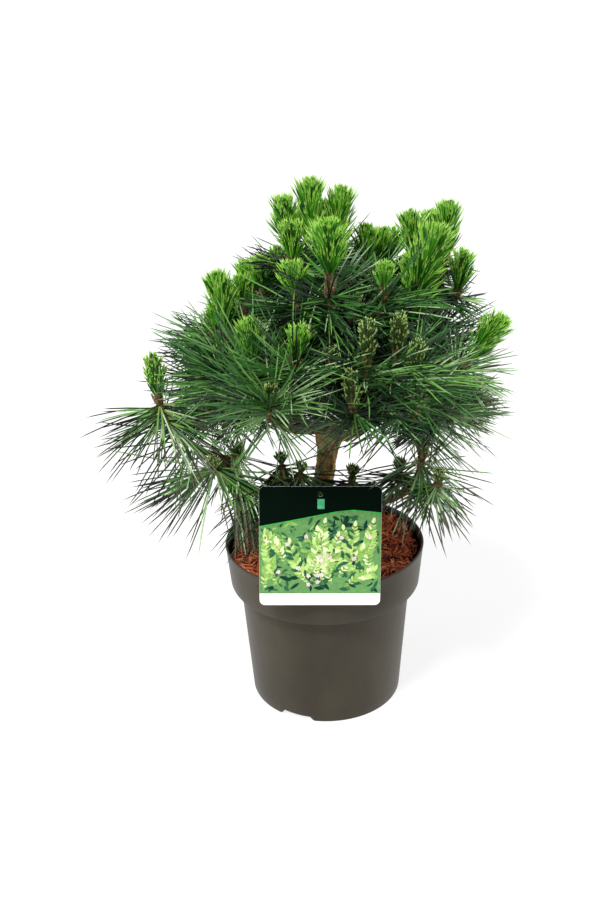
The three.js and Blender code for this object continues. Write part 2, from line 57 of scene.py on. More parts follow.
def paint(red, green, blue):
    """A colour as read from a paint chart, 0 to 255, in the linear values that materials take."""
    shares = [level / 255 for level in (red, green, blue)]
    return (*[s / 12.92 if s <= 10 / 255 else ((s + 0.055) / 1.055) ** 2.4 for s in shares], 1)


def new_finish(name, colour, roughness, specular=0.5):
    """A material with one plain colour and roughness, ready for its pattern."""
    finish = bpy.data.materials.new(name)
    finish.use_nodes = True
    surface = finish.node_tree.nodes["Principled BSDF"].inputs
    finish.diffuse_color = surface["Base Color"].default_value = paint(*colour)
    surface["Roughness"].default_value = roughness
    surface["Specular IOR Level"].default_value = specular
    return finish


def new_piece(name, points, faces, finishes, finish_of_face=None, smooth_below=None):
    """A mesh object in the row frame, from points in millimetres."""
    mesh = bpy.data.meshes.new(name)
    mesh.from_pydata(np.asarray(points, float) / 1000, [], faces)
    for finish in finishes:
        mesh.materials.append(finish)
    if finish_of_face is not None:
        mesh.polygons.foreach_set("material_index", np.asarray(finish_of_face, np.int32))
    if smooth_below is not None:
        mesh.shade_smooth()
        mesh.set_sharp_from_angle(angle=math.radians(smooth_below))
    mesh.validate()
    mesh.update()
    piece = bpy.data.objects.new(name, mesh)
    bpy.context.scene.collection.objects.link(piece)
    return piece


FLOOR_HALF_WIDTH, FLOOR_DROP, FLOOR_GLOW, SKY_STRENGTH = 30000, 0.4, 0.8, 0.58
WHITE, SQUARE = (1, 1, 1, 1), [(-1, -1), (1, -1), (1, 1), (-1, 1)]

floor_corners = [(x * FLOOR_HALF_WIDTH, y * FLOOR_HALF_WIDTH, -FLOOR_DROP) for x, y in SQUARE]
pale_floor = new_finish("pale floor", (122, 122, 122), 0.9, 0.1)
glow = pale_floor.node_tree.nodes["Principled BSDF"].inputs
glow["Emission Color"].default_value, glow["Emission Strength"].default_value = WHITE, FLOOR_GLOW
floor = new_piece("floor", floor_corners, [(0, 1, 2, 3)], [pale_floor])

sky = bpy.data.worlds.new("white studio")
bpy.context.scene.world = sky
sky.use_nodes = True
sky_nodes, sky_link = sky.node_tree.nodes, sky.node_tree.links.new
skylight, backdrop = sky_nodes["Background"], sky_nodes.new("ShaderNodeBackground")
sight, chosen = sky_nodes.new("ShaderNodeLightPath"), sky_nodes.new("ShaderNodeMixShader")
skylight.inputs["Color"].default_value = backdrop.inputs["Color"].default_value = WHITE
skylight.inputs["Strength"].default_value = SKY_STRENGTH
sky_link(sight.outputs["Is Camera Ray"], chosen.inputs["Fac"])
sky_link(skylight.outputs["Background"], chosen.inputs[1])
sky_link(backdrop.outputs["Background"], chosen.inputs[2])
sky_link(chosen.outputs["Shader"], sky_nodes["World Output"].inputs["Surface"])
bpy.context.scene.view_settings.view_transform = "Standard"

SOFTBOX_WIDTH, SOFTBOX_AIM = 0.8, Vector((0, 0, 0.28))
DAYLIGHT_STRENGTH, DAYLIGHT_BREADTH, DAYLIGHT_FROM = 3.9, 14, (-0.35, -0.55, 1)
LENS, CAMERA_PLACE, CAMERA_DIP, CAMERA_TURN = 48, (-0.0213, -1.020, 0.703), 23.8, -1.38


def add_softbox(name, place, watts):
    lamp = bpy.data.lights.new(name, "AREA")
    lamp.shape = "SQUARE"
    lamp.size = SOFTBOX_WIDTH
    lamp.energy = watts
    softbox = bpy.data.objects.new(name, lamp)
    softbox.location = place
    softbox.rotation_euler = (Vector(place) - SOFTBOX_AIM).to_track_quat("Z", "Y").to_euler()
    bpy.context.scene.collection.objects.link(softbox)


add_softbox("softbox left", (-1.5, -0.1, 0.6), 9)
add_softbox("softbox right", (1.5, -0.1, 0.7), 11)

daylight = bpy.data.lights.new("daylight", "SUN")
daylight.energy = DAYLIGHT_STRENGTH
daylight.angle = math.radians(DAYLIGHT_BREADTH)
sun = bpy.data.objects.new("daylight", daylight)
sun.rotation_euler = Vector(DAYLIGHT_FROM).to_track_quat("Z", "Y").to_euler()
bpy.context.scene.collection.objects.link(sun)

camera = bpy.data.objects.new("camera", bpy.data.cameras.new("camera"))
camera.data.lens = LENS
camera.location = CAMERA_PLACE
dip = Matrix.Rotation(math.radians(90 - CAMERA_DIP), 3, "X")
camera.rotation_euler = (dip @ Matrix.Rotation(math.radians(CAMERA_TURN), 3, "Z")).to_euler()
bpy.context.scene.collection.objects.link(camera)
bpy.context.scene.camera = camera


# The pot is a nursery pot, injection-moulded in one piece in grey-brown plastic. It has a wide collar for
# stacking and lifting, and three drainage notches in the edge of its foot. It stands straight on the floor.

def turned(profile, sides, bend=None):
    """Points and faces of a round turned from (radius, height) pairs, closed where a pair has no radius."""
    angles = np.arange(sides) * 2 * math.pi / sides
    points, rings = [], []
    for row, (radius, height) in enumerate(profile):
        first = len(points)
        if radius == 0:
            points.append((0, 0, height))
            rings.append([first] * sides)
            continue
        heights = np.full(sides, float(height)) if bend is None else bend(row, height, angles)
        points += list(zip(radius * np.cos(angles), radius * np.sin(angles), heights))
        rings.append(list(range(first, first + sides)))
    faces = []
    for row, (low, high) in enumerate(zip(rings, rings[1:])):
        for k in range(sides):
            corners = [low[k], low[(k + 1) % sides], high[(k + 1) % sides], high[k]]
            faces.append((row, list(dict.fromkeys(corners))))
    return points, [corners for _, corners in faces], [row for row, _ in faces]


COARSE_DETAIL, FINE_DETAIL, FINER_BY = 6, 3, 4.7


def grain_group():
    """Fine grain for moulded, barky and fibrous surfaces: a mask and a height, by scale and stretch."""
    group = bpy.data.node_groups.new("grain", "ShaderNodeTree")
    for name, value in [("Scale", 100), ("Stretch along Z", 1)]:
        socket = group.interface.new_socket(name, in_out="INPUT", socket_type="NodeSocketFloat")
        socket.default_value = value
        socket.min_value = 0
    for name in ("Mask", "Height"):
        group.interface.new_socket(name, in_out="OUTPUT", socket_type="NodeSocketFloat")
    node, link = group.nodes.new, group.links.new
    inside, outside, place = node("NodeGroupInput"), node("NodeGroupOutput"), node("ShaderNodeTexCoord")
    stretch, scaled = node("ShaderNodeCombineXYZ"), node("ShaderNodeVectorMath")
    coarse, fine, finer = node("ShaderNodeTexNoise"), node("ShaderNodeTexNoise"), node("ShaderNodeMath")
    scaled.operation = finer.operation = "MULTIPLY"
    stretch.inputs["X"].default_value = stretch.inputs["Y"].default_value = 1
    coarse.inputs["Detail"].default_value = COARSE_DETAIL
    fine.inputs["Detail"].default_value = FINE_DETAIL
    finer.inputs[1].default_value = FINER_BY
    link(inside.outputs["Stretch along Z"], stretch.inputs["Z"])
    link(place.outputs["Object"], scaled.inputs[0])
    link(stretch.outputs["Vector"], scaled.inputs[1])
    link(inside.outputs["Scale"], finer.inputs[0])
    for texture, size in [(coarse, inside.outputs["Scale"]), (fine, finer.outputs["Value"])]:
        link(scaled.outputs["Vector"], texture.inputs["Vector"])
        link(size, texture.inputs["Scale"])
    link(coarse.outputs["Fac"], outside.inputs["Mask"])
    link(fine.outputs["Fac"], outside.inputs["Height"])
    return group


GRAIN = grain_group()


def add_grain(finish, colours, scale, stretch, depth, band=(0.35, 0.65)):
    """The finish, mottled between two colours and roughened by depth metres."""
    nodes, link = finish.node_tree.nodes, finish.node_tree.links.new
    surface, grain = nodes["Principled BSDF"], nodes.new("ShaderNodeGroup")
    ramp, bump = nodes.new("ShaderNodeValToRGB"), nodes.new("ShaderNodeBump")
    grain.node_tree = GRAIN
    grain.inputs["Scale"].default_value = scale
    grain.inputs["Stretch along Z"].default_value = stretch
    for stop, position, colour in zip(ramp.color_ramp.elements, band, colours):
        stop.position = position
        stop.color = paint(*colour)
    bump.inputs["Distance"].default_value = depth
    link(grain.outputs["Mask"], ramp.inputs["Fac"])
    link(ramp.outputs["Color"], surface.inputs["Base Color"])
    link(grain.outputs["Height"], bump.inputs["Height"])
    link(bump.outputs["Normal"], surface.inputs["Normal"])
    return finish


POT_HEIGHT, POT_WALL, POT_FLOOR, POT_SIDES = 160, 2.2, 8, 264
RIM_RADIUS, COLLAR_FOOT_RADIUS, COLLAR_FOOT, BASE_RADIUS = 95, 91, 119, 73
NOTCH_BEARINGS, NOTCH_HALF_WIDTH, NOTCH_SLOPE, NOTCH_HEIGHT, NOTCH_DEPTH = (245, 5, 125), 15, 2.5, 5.5, 6
FIRST_NOTCHED_RING, LAST_NOTCHED_RING, FIRST_INNER_RING = 3, 6, 25

pot_profile = [
    (0, 0), (40, 0), (BASE_RADIUS - NOTCH_DEPTH - 0.01, 0), (BASE_RADIUS - NOTCH_DEPTH, 0), (71.8, 0),
    (72.6, 0.3), (BASE_RADIUS, 1.2), (73.75, 11), (75.5, 34), (77.5, 60), (79.5, 86), (81.6, 114),
    (81.9, 117.4), (82.6, 118.7), (83.9, COLLAR_FOOT), (89.7, COLLAR_FOOT), (90.6, 119.4),
    (COLLAR_FOOT_RADIUS, 120.3), (92, 130), (93.5, 146), (94.7, 157.4), (RIM_RADIUS, 158.6),
    (94.7, 159.6), (94, POT_HEIGHT), (93.3, 159.8), (92.8, 159), (91, 139), (88.8, 121.2),
    (79.8, 121.2), (70.8, POT_FLOOR), (0, POT_FLOOR),
]


def notch_foot(ring, height, angles):
    """Lifts the edge of the foot over each notch, with slanted sides."""
    heights = np.full(len(angles), float(height))
    if FIRST_NOTCHED_RING <= ring <= LAST_NOTCHED_RING:
        for bearing in NOTCH_BEARINGS:
            turn = (angles - math.radians(bearing) + math.pi) % (2 * math.pi) - math.pi
            inward = NOTCH_HALF_WIDTH + NOTCH_SLOPE - np.abs(turn) * BASE_RADIUS
            rise = np.clip(inward / (2 * NOTCH_SLOPE), 0, 1) * NOTCH_HEIGHT
            heights = np.maximum(heights, rise + height * 0.5 * (rise > 0))
    return heights


pot_plastic = add_grain(new_finish("grey-brown pot plastic", (52, 46, 34), 0.42, 0.25),
                        ((46, 41, 30), (58, 52, 39)), 22, 0.5, 0.0002)
# The pot's inner wall gets a darker copy of the plastic: painted shade inside the pot.
painted_shade_pot_inside = add_grain(new_finish("pot plastic darkened inside as painted shade", (22, 20, 16), 0.6, 0.3),
                       ((14, 13, 11), (34, 30, 24)), 40, 0.5, 0.0003)

pot_points, pot_faces, pot_rows = turned(pot_profile, POT_SIDES, notch_foot)
pot = new_piece("pot_body", pot_points, pot_faces, [pot_plastic, painted_shade_pot_inside],
                [int(row >= FIRST_INNER_RING) for row in pot_rows], smooth_below=32)
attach(pot, "root")
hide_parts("pot")


# The growing medium is dark potting mix. Its top is dressed with shredded softwood bark, long rust-red
# fibres and flat chips, strewn loose up to a centimetre or so under the rim.

MIX_TOP, MIX_EDGE_RADIUS, MIX_SIDES, MIX_FLAT_RADIUS, MIX_FLAT_BORDER = 147, 90.5, 150, 22, 8
MIX_LUMP, MIX_LUMP_WIDTH, MIX_HEAP, HEAPED_TOWARDS = 1.6, 14, 6, (0.5, 0.85)


def mix_surface(x, y):
    """Height of the potting mix, lumpy and heaped towards the back, but flat where the trunk stands."""
    lumps = noise.fractal(Vector((x / MIX_LUMP_WIDTH, y / MIX_LUMP_WIDTH, 3)), 1, 2, 4) * MIX_LUMP
    behind = (HEAPED_TOWARDS[0] * x + HEAPED_TOWARDS[1] * y) / MIX_EDGE_RADIUS
    lumps += MIX_HEAP * max(behind, 0) ** 1.5
    return MIX_TOP + lumps * min(max((math.hypot(x, y) - MIX_FLAT_RADIUS) / MIX_FLAT_BORDER, 0), 1)


mix_profile = [(0, 8.3), (70, 8.3), (79.2, 121.8), (88.2, 121.8), (MIX_EDGE_RADIUS - 0.3, MIX_TOP - 3)]
mix_profile += [(radius, MIX_TOP) for radius in np.linspace(MIX_EDGE_RADIUS, 3, 34)] + [(0, MIX_TOP)]
mix_points, mix_faces, _ = turned(mix_profile, MIX_SIDES)
mix_points = [(x, y, mix_surface(x, y) if z >= MIX_TOP else z) for x, y, z in mix_points]
potting_mix = add_grain(new_finish("dark potting mix", (45, 27, 18), 1, 0.2),
                        ((28, 17, 12), (88, 42, 24)), 160, 1, 0.0015)
mix = new_piece("potting_mix", mix_points, mix_faces, [potting_mix], smooth_below=60)
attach(mix, "root")
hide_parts("growing_medium")


SHREDS, SHRED_SEED, SHRED_LENGTHS, SHRED_WIDTHS, SHRED_LIFTS = 3400, 11, (6, 30), (0.9, 3.6), (0.3, 4.6)
SHRED_BANDS, SHRED_TAPER = (0, 0.3, 0.7, 1), (0.5, 1, 0.85, 0.35)
SHRED_FACES = [(0, 3, 2, 1), (12, 13, 14, 15)] + [
    (low + k, low + (k + 1) % 4, low + 4 + (k + 1) % 4, low + 4 + k) for low in (0, 4, 8) for k in range(4)]
SHRED_KINDS, STREWN_RADIUS, TRUNK_RING = (0.4, 0.27, 0.22, 0.11), 89, 15
TONGUE_X, TONGUE_HALF_WIDTH, TONGUE_BACK = -7, 16, -80


class Joined:
    """Like pieces joined into one mesh, with a finish number for each face."""

    def __init__(self):
        self.points, self.faces, self.finishes = [], [], []

    def add(self, made, finish=0):
        points, faces = made
        first = len(self.points)
        self.points += list(points)
        self.faces += [[corner + first for corner in face] for face in faces]
        self.finishes += [finish] * len(faces)


def strewn_shreds():
    """Every shred: a thin bent strip of four sides with ragged ends."""
    draw, strewn = np.random.default_rng(SHRED_SEED), Joined()
    shortest, longest = SHRED_LENGTHS
    while len(strewn.finishes) < SHREDS * len(SHRED_FACES):
        out, bearing = STREWN_RADIUS * math.sqrt(draw.random()), draw.uniform(0, 2 * math.pi)
        x, y = out * math.cos(bearing), out * math.sin(bearing)
        length = shortest + (longest - shortest) * draw.random() ** 2.2
        width = draw.uniform(*SHRED_WIDTHS) * (0.6 + 8 / (8 + length))
        turn, pitch = draw.uniform(0, 2 * math.pi), draw.normal(0, 0.16)
        bow, roll = draw.normal(0, 0.12), draw.normal(0, 0.5)
        flat, rise = math.cos(pitch), math.sin(pitch)
        along = np.array([math.cos(turn) * flat, math.sin(turn) * flat, rise])
        ends = [math.hypot(x + along[0] * length * s, y + along[1] * length * s) for s in (-0.55, 0.55)]
        by_tongue = abs(x - TONGUE_X) < TONGUE_HALF_WIDTH and y < TONGUE_BACK
        if max(ends) > STREWN_RADIUS + 1 or min(*ends, out) < TRUNK_RING or by_tongue:
            continue
        level = np.array([-math.sin(turn), math.cos(turn), 0])
        across = level * math.cos(roll) + np.cross(along, level) * math.sin(roll)
        upward = np.cross(along, across)
        height = mix_surface(x, y) + draw.uniform(*SHRED_LIFTS) + abs(rise) * length * 0.3
        middle = np.array([x, y, height])
        thick = width * draw.uniform(0.18, 0.4)
        points = []
        for share, wide in zip(SHRED_BANDS, SHRED_TAPER):
            centre = middle + along * length * (share - 0.5) + level * bow * length * (share - 0.5) ** 2 * 4
            for a, b in SQUARE:
                points.append(centre + across * a * width * wide / 2 + upward * b * thick * wide / 2)
        strewn.add((points, SHRED_FACES), int(draw.choice(4, p=SHRED_KINDS)))
    return strewn


shred_finishes = [add_grain(new_finish(name, dark, 0.9, 0.25), (dark, light), 260, 1, 0.0003)
                  for name, dark, light in [
    ("rust-red bark", (160, 76, 42), (208, 118, 72)),
    ("brown bark", (130, 58, 34), (170, 84, 54)),
    ("pale torn bark", (196, 104, 64), (224, 146, 104)),
    ("dark bark", (54, 24, 14), (86, 38, 22)),
]]
shreds = strewn_shreds()
mulch = new_piece("bark_mulch", shreds.points, shreds.faces, shred_finishes, shreds.finishes)
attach(mulch, "root")


# The label is a die-cut card of white plastic, held by a tongue that is pushed down inside the pot. It is
# printed with a dark green heading over a picture of leafy sprigs, and a strip is left white at the foot.

CARD_WIDTH, CARD_HEIGHT, CARD_CORNER, CARD_THICKNESS = 107, 110, 5, 1
CARD_CENTRE_X, CARD_FOOT_Y, CARD_FOOT, CARD_LEAN, CARD_TURN = -7, -98.3, 145.7, 9, -1.4
CARD_HOLE_DROP, PRINTED_HOLE_RADIUS, PRINT_SIDE = 7, 2.35, 53.4
PICTURE_FOOT, PICTURE_SIDE, PRINT_LIFT, PRINT_SEED = 11, 52.8, 0.04, 5
LOOSE_LEAVES, SPRIGS, SPRIG_STEPS, STEP_LENGTH, BLOSSOMS = 420, 15, 15, 3, 16
HEADING_EDGE = [(-53.5, 73.5), (-15, 81), (14, 87), (29, 88.5), (53.5, 86)]

card_plastic = add_grain(new_finish("white card plastic", (242, 243, 240), 0.35),
                         ((238, 239, 236), (246, 247, 244)), 60, 1, 0.00005)
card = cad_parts["plant_label"]
card.data.materials.clear()
card.data.materials.append(card_plastic)

INKS = {
    "heading green": (3, 14, 8), "edge green": (58, 176, 72), "picture green": (96, 142, 84),
    "shade green": (44, 92, 66), "deep green": (20, 58, 46), "leaf green": (132, 176, 90),
    "lime green": (172, 204, 116), "pale green": (206, 226, 164), "mint": (72, 168, 116),
    "blossom": (226, 206, 204), "stalk": (150, 160, 100),
}
THIN_INK, THICK_INK = 0.93, 1.06
ink_finishes = []
for name, colour in INKS.items():
    thin, thick = [c * THIN_INK for c in colour], [min(c * THICK_INK, 255) for c in colour]
    ink = new_finish("printed " + name, colour, 0.6, 0.02)
    ink_finishes.append(add_grain(ink, (thin, thick), 300, 1, 0.00002))
SHADED_INKS = ["shade green", "deep green", "picture green"]
LIT_INKS = ["leaf green", "picture green", "shade green"]
SPRIG_INKS = [["leaf green", "lime green", "shade green"], ["lime green", "leaf green", "pale green"]]


def heading_edge(across):
    """Height of the heading's curved lower edge."""
    return float(np.interp(across, *zip(*HEADING_EDGE)))


def in_picture(outline):
    """True for a shape that lies wholly inside the label's picture."""
    return all(abs(a) < PICTURE_SIDE and PICTURE_FOOT < b < heading_edge(a) - 0.5 for a, b in outline)


class Print(Joined):
    """Flat printed shapes, each a hair above the ones before it, in millimetres across and up the card."""

    def shape(self, outline, ink, layer):
        points = []
        turn, lean = math.radians(-CARD_TURN), math.radians(-CARD_LEAN)
        for across, up, *back in outline:
            x, y, z = across, back[0] if back else -CARD_THICKNESS - PRINT_LIFT * (1 + layer), up
            x, z = x * math.cos(turn) + z * math.sin(turn), z * math.cos(turn) - x * math.sin(turn)
            y, z = y * math.cos(lean) - z * math.sin(lean), y * math.sin(lean) + z * math.cos(lean)
            points.append((CARD_CENTRE_X + x, CARD_FOOT_Y + y, CARD_FOOT + z))
        self.add((points, [range(len(points))]), list(INKS).index(ink))

    def leaf(self, root, bearing, length, width, ink, layer):
        along = np.array([math.cos(bearing), math.sin(bearing)])
        across = np.array([-along[1], along[0]])
        half = [(0, 0), (0.2, 0.34), (0.45, 0.5), (0.75, 0.36), (1, 0)]
        rim = half + [(s, -w) for s, w in half[-2:0:-1]]
        outline = [root + along * length * s + across * width * w for s, w in rim]
        if in_picture(outline):
            self.shape(outline, ink, layer)


def card_edge(across):
    """Height of the card's upper edge, rounded at its corners."""
    inset = max(abs(across) - (CARD_WIDTH / 2 - CARD_CORNER), 0)
    return CARD_HEIGHT - (CARD_CORNER - math.sqrt(max(CARD_CORNER ** 2 - inset ** 2, 0)))


def printed_label():
    """The heading, its bright edge, the picture's ground and its sprigs."""
    work, draw = Print(), np.random.default_rng(PRINT_SEED)
    curved = (49, 50.5, 52, 53, 0.5, 1, 1.4, 1.8, 2.1, 2.25, PRINTED_HOLE_RADIUS)
    stations = [*np.linspace(-PRINT_SIDE, PRINT_SIDE, 90), *curved, *[-across for across in curved]]
    stations = sorted(set(stations))
    hole = CARD_HEIGHT - CARD_HOLE_DROP
    for left, right in zip(stations, stations[1:]):
        low = [heading_edge(left), heading_edge(right)]
        tops = [card_edge(left) - 0.1, card_edge(right) - 0.1]
        reach = [math.sqrt(max(PRINTED_HOLE_RADIUS ** 2 - a * a, 0)) for a in (left, right)]
        under, over = [hole - r for r in reach], [hole + r for r in reach]

        def strip(bottom, top, ink, layer, left=left, right=right):
            work.shape([(left, bottom[0]), (right, bottom[1]), (right, top[1]), (left, top[0])], ink, layer)

        strip(low, under, "heading green", 0)
        strip(over, tops, "heading green", 0)
        strip([PICTURE_FOOT] * 2, low, "picture green", 0)
        strip([edge - 0.5 for edge in low], [edge + 0.3 for edge in low], "edge green", 9)
        rims = [card_edge(left) + PRINT_LIFT, card_edge(right) + PRINT_LIFT]
        front = -CARD_THICKNESS - PRINT_LIFT
        edge = [(left, rims[0], front), (right, rims[1], front), (right, rims[1], 0), (left, rims[0], 0)]
        work.shape(edge, "heading green", 0)
    work.shape([(-2.6, 89.5), (3.6, 89.5), (3.6, 98.5), (-2.6, 98.5)], "mint", 1)
    for _ in range(LOOSE_LEAVES):
        root = np.array([draw.uniform(-52, 52), draw.uniform(12, 84)])
        shaded = root[1] > 62 and root[0] > 0 or root[1] < 24 or draw.random() < 0.25
        ink = draw.choice(SHADED_INKS if shaded else LIT_INKS)
        length, width, layer = draw.uniform(6, 12), draw.uniform(2, 4), int(draw.integers(1, 4))
        work.leaf(root, draw.uniform(0, 2 * math.pi), length, width, ink, layer)
    for sprig in range(SPRIGS):
        place = np.array([draw.uniform(-50, 46), draw.uniform(14, 40)])
        bearing, curl = draw.uniform(0.7, 2.4), draw.normal(0, 0.035)
        inks = SPRIG_INKS[min(sprig % 3, 1)]
        for step in range(SPRIG_STEPS):
            ahead = place + STEP_LENGTH * np.array([math.cos(bearing), math.sin(bearing)])
            beside = 0.35 * np.array([-math.sin(bearing), math.cos(bearing)])
            stalk = [place - beside, ahead - beside, ahead + beside, place + beside]
            if in_picture(stalk):
                work.shape(stalk, "stalk", 4)
            size = 8.5 * math.sin(math.pi * (step + 2) / 18)
            for side in (-1, 1):
                spread = bearing + side * draw.uniform(0.7, 1.0)
                work.leaf(ahead, spread, size, size * 0.42, draw.choice(inks), 5 + (step + side) % 3)
            place, bearing = ahead, bearing + curl
        work.leaf(place, bearing, 6, 3.4, "pale green", 8)
    for _ in range(BLOSSOMS):
        centre = np.array([draw.uniform(-46, 48), draw.uniform(18, 66)])
        for petal in range(5):
            work.leaf(centre, petal * 1.257 + centre[0], draw.uniform(1.8, 2.6), 1.9, "blossom", 8)
    return work


label = printed_label()
label_print = new_piece("label_print", label.points, label.faces, ink_finishes, label.finishes)
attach(label_print, "root")


# The trunk is one young stem with scaly brown bark, split by creases into small plates. It leans to the
# right, flares over the soil and swells where the boughs leave it.

GAP, TRUNK_RINGS, TRUNK_SIDES, BARK_PLATE, BARK_DEPTH = 0.3, 230, 84, 4.2, 0.9
TRUNK_FOOT, TRUNK_TOP, TRUNK_FOOT_X, TRUNK_LEAN, TRUNK_SWAY = MIX_TOP + GAP, 300, -4, 17, 2
TRUNK_RADIUS, TRUNK_TIP_RADIUS, FORK_HEIGHT, FORK_SWELL, FORK_SPREAD = 9.2, 4.6, 272, 5, 15
FLARE_RADIUS, FLARE_HEIGHT, FLARE_LOBES, FLARE_LOBE_SHARE = 6, 12, 5, 0.25


def mix_of(a, b, share):
    return a + (b - a) * share


def trunk_axis(height):
    share = max((height - TRUNK_FOOT) / (TRUNK_TOP - TRUNK_FOOT), 0)
    return np.array([TRUNK_FOOT_X + TRUNK_LEAN * share ** 1.8, TRUNK_SWAY * math.sin(3 * share), height])


def trunk_radius(height, angle):
    tapered = np.clip((height - FORK_HEIGHT) / (TRUNK_TOP - FORK_HEIGHT), 0, 1)
    lobed = 1 + FLARE_LOBE_SHARE * math.cos(FLARE_LOBES * angle)
    flare = FLARE_RADIUS * lobed * math.exp((TRUNK_FOOT - height) / FLARE_HEIGHT)
    swell = FORK_SWELL * math.exp(-(((height - FORK_HEIGHT) / FORK_SPREAD) ** 2))
    return mix_of(TRUNK_RADIUS, TRUNK_TIP_RADIUS, tapered) + flare + swell


def around(across, beside, angle):
    return across * math.cos(angle) + beside * math.sin(angle)


def bark_relief(place, plate, depth):
    """How far the bark stands out at a place: plates of that size, split by creases, with fine scales."""
    stretched = Vector((place[0] / plate, place[1] / plate, place[2] / plate / 1.7))
    near, next_near = noise.voronoi(stretched)[0][:2]
    crease = min((next_near - near) * 3, 1)
    scales = noise.fractal(stretched * 4, 1, 2, 3)
    return depth * (crease - 0.6 + 0.35 * scales)


def limb_faces(rings, sides):
    """Faces of a round limb of that many rings, closed at both ends."""
    faces = []
    for low in range((rings - 1) * sides):
        low_next = low + 1 if (low + 1) % sides else low + 1 - sides
        faces.append((low, low_next, low_next + sides, low + sides))
    return faces + [list(range(sides - 1, -1, -1)), list(range((rings - 1) * sides, rings * sides))]


def barked_limb(centres, tangents, across, radii, sides, plate, depth):
    """Points and faces of a limb along its centres, with bark relief and closed ends."""
    points = []
    for centre, tangent, radius in zip(centres, tangents, radii):
        beside = np.cross(across, tangent)
        for k in range(sides):
            angle = k * 2 * math.pi / sides
            outward = around(across, beside, angle)
            wide = radius(angle) if callable(radius) else radius
            place = centre + outward * wide
            points.append(place + outward * bark_relief(place, plate, depth))
    return points, limb_faces(len(centres), sides)


trunk_bark = add_grain(new_finish("scaly brown bark", (190, 158, 104), 0.92, 0.2),
                       ((126, 96, 54), (226, 190, 124)), 210, 0.5, 0.0012, (0.36, 0.62))
trunk_heights = np.linspace(TRUNK_FOOT, TRUNK_TOP, TRUNK_RINGS)
trunk_radii = [lambda angle, height=height: trunk_radius(height, angle) for height in trunk_heights]
trunk_points, trunk_faces = barked_limb(
    [trunk_axis(height) for height in trunk_heights], [np.array([0, 0, 1])] * TRUNK_RINGS,
    np.array([1, 0, 0]), trunk_radii, TRUNK_SIDES, BARK_PLATE, BARK_DEPTH)
trunk_points = [(x, y, max(z, TRUNK_FOOT)) for x, y, z in trunk_points]
trunk = new_piece("trunk_bark", trunk_points, trunk_faces, [trunk_bark], smooth_below=60)
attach(trunk, "root")
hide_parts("trunk")


# The boughs leave the trunk at the fork and below it. Each runs out, then turns up to a whorl where its
# twigs start. Their bark is thinner and darker than the trunk's.

class Mass:
    """What a bough springs from and where, the bearing, reach and height of the tip of its mass's leading
    shoot, how long that candle is, and what else is its own. Lengths are in millimetres."""

    lean, splay, twig, shoots, ahead, aside, trail = 0.08, 0.35, 46, 3, 0, 1, (30, 60, 90, 70)
    needle, open, close, dense, hang, spread, neck, brush = 64, 104, 64, 1, 0, 22, 0.14, 29
    sides = None

    def __init__(self, on, start, bearing, reach, top, candle, **own):
        self.on, self.start, self.bearing = on, start, bearing
        self.reach, self.top, self.candle = reach, top, candle
        self.__dict__.update(own)


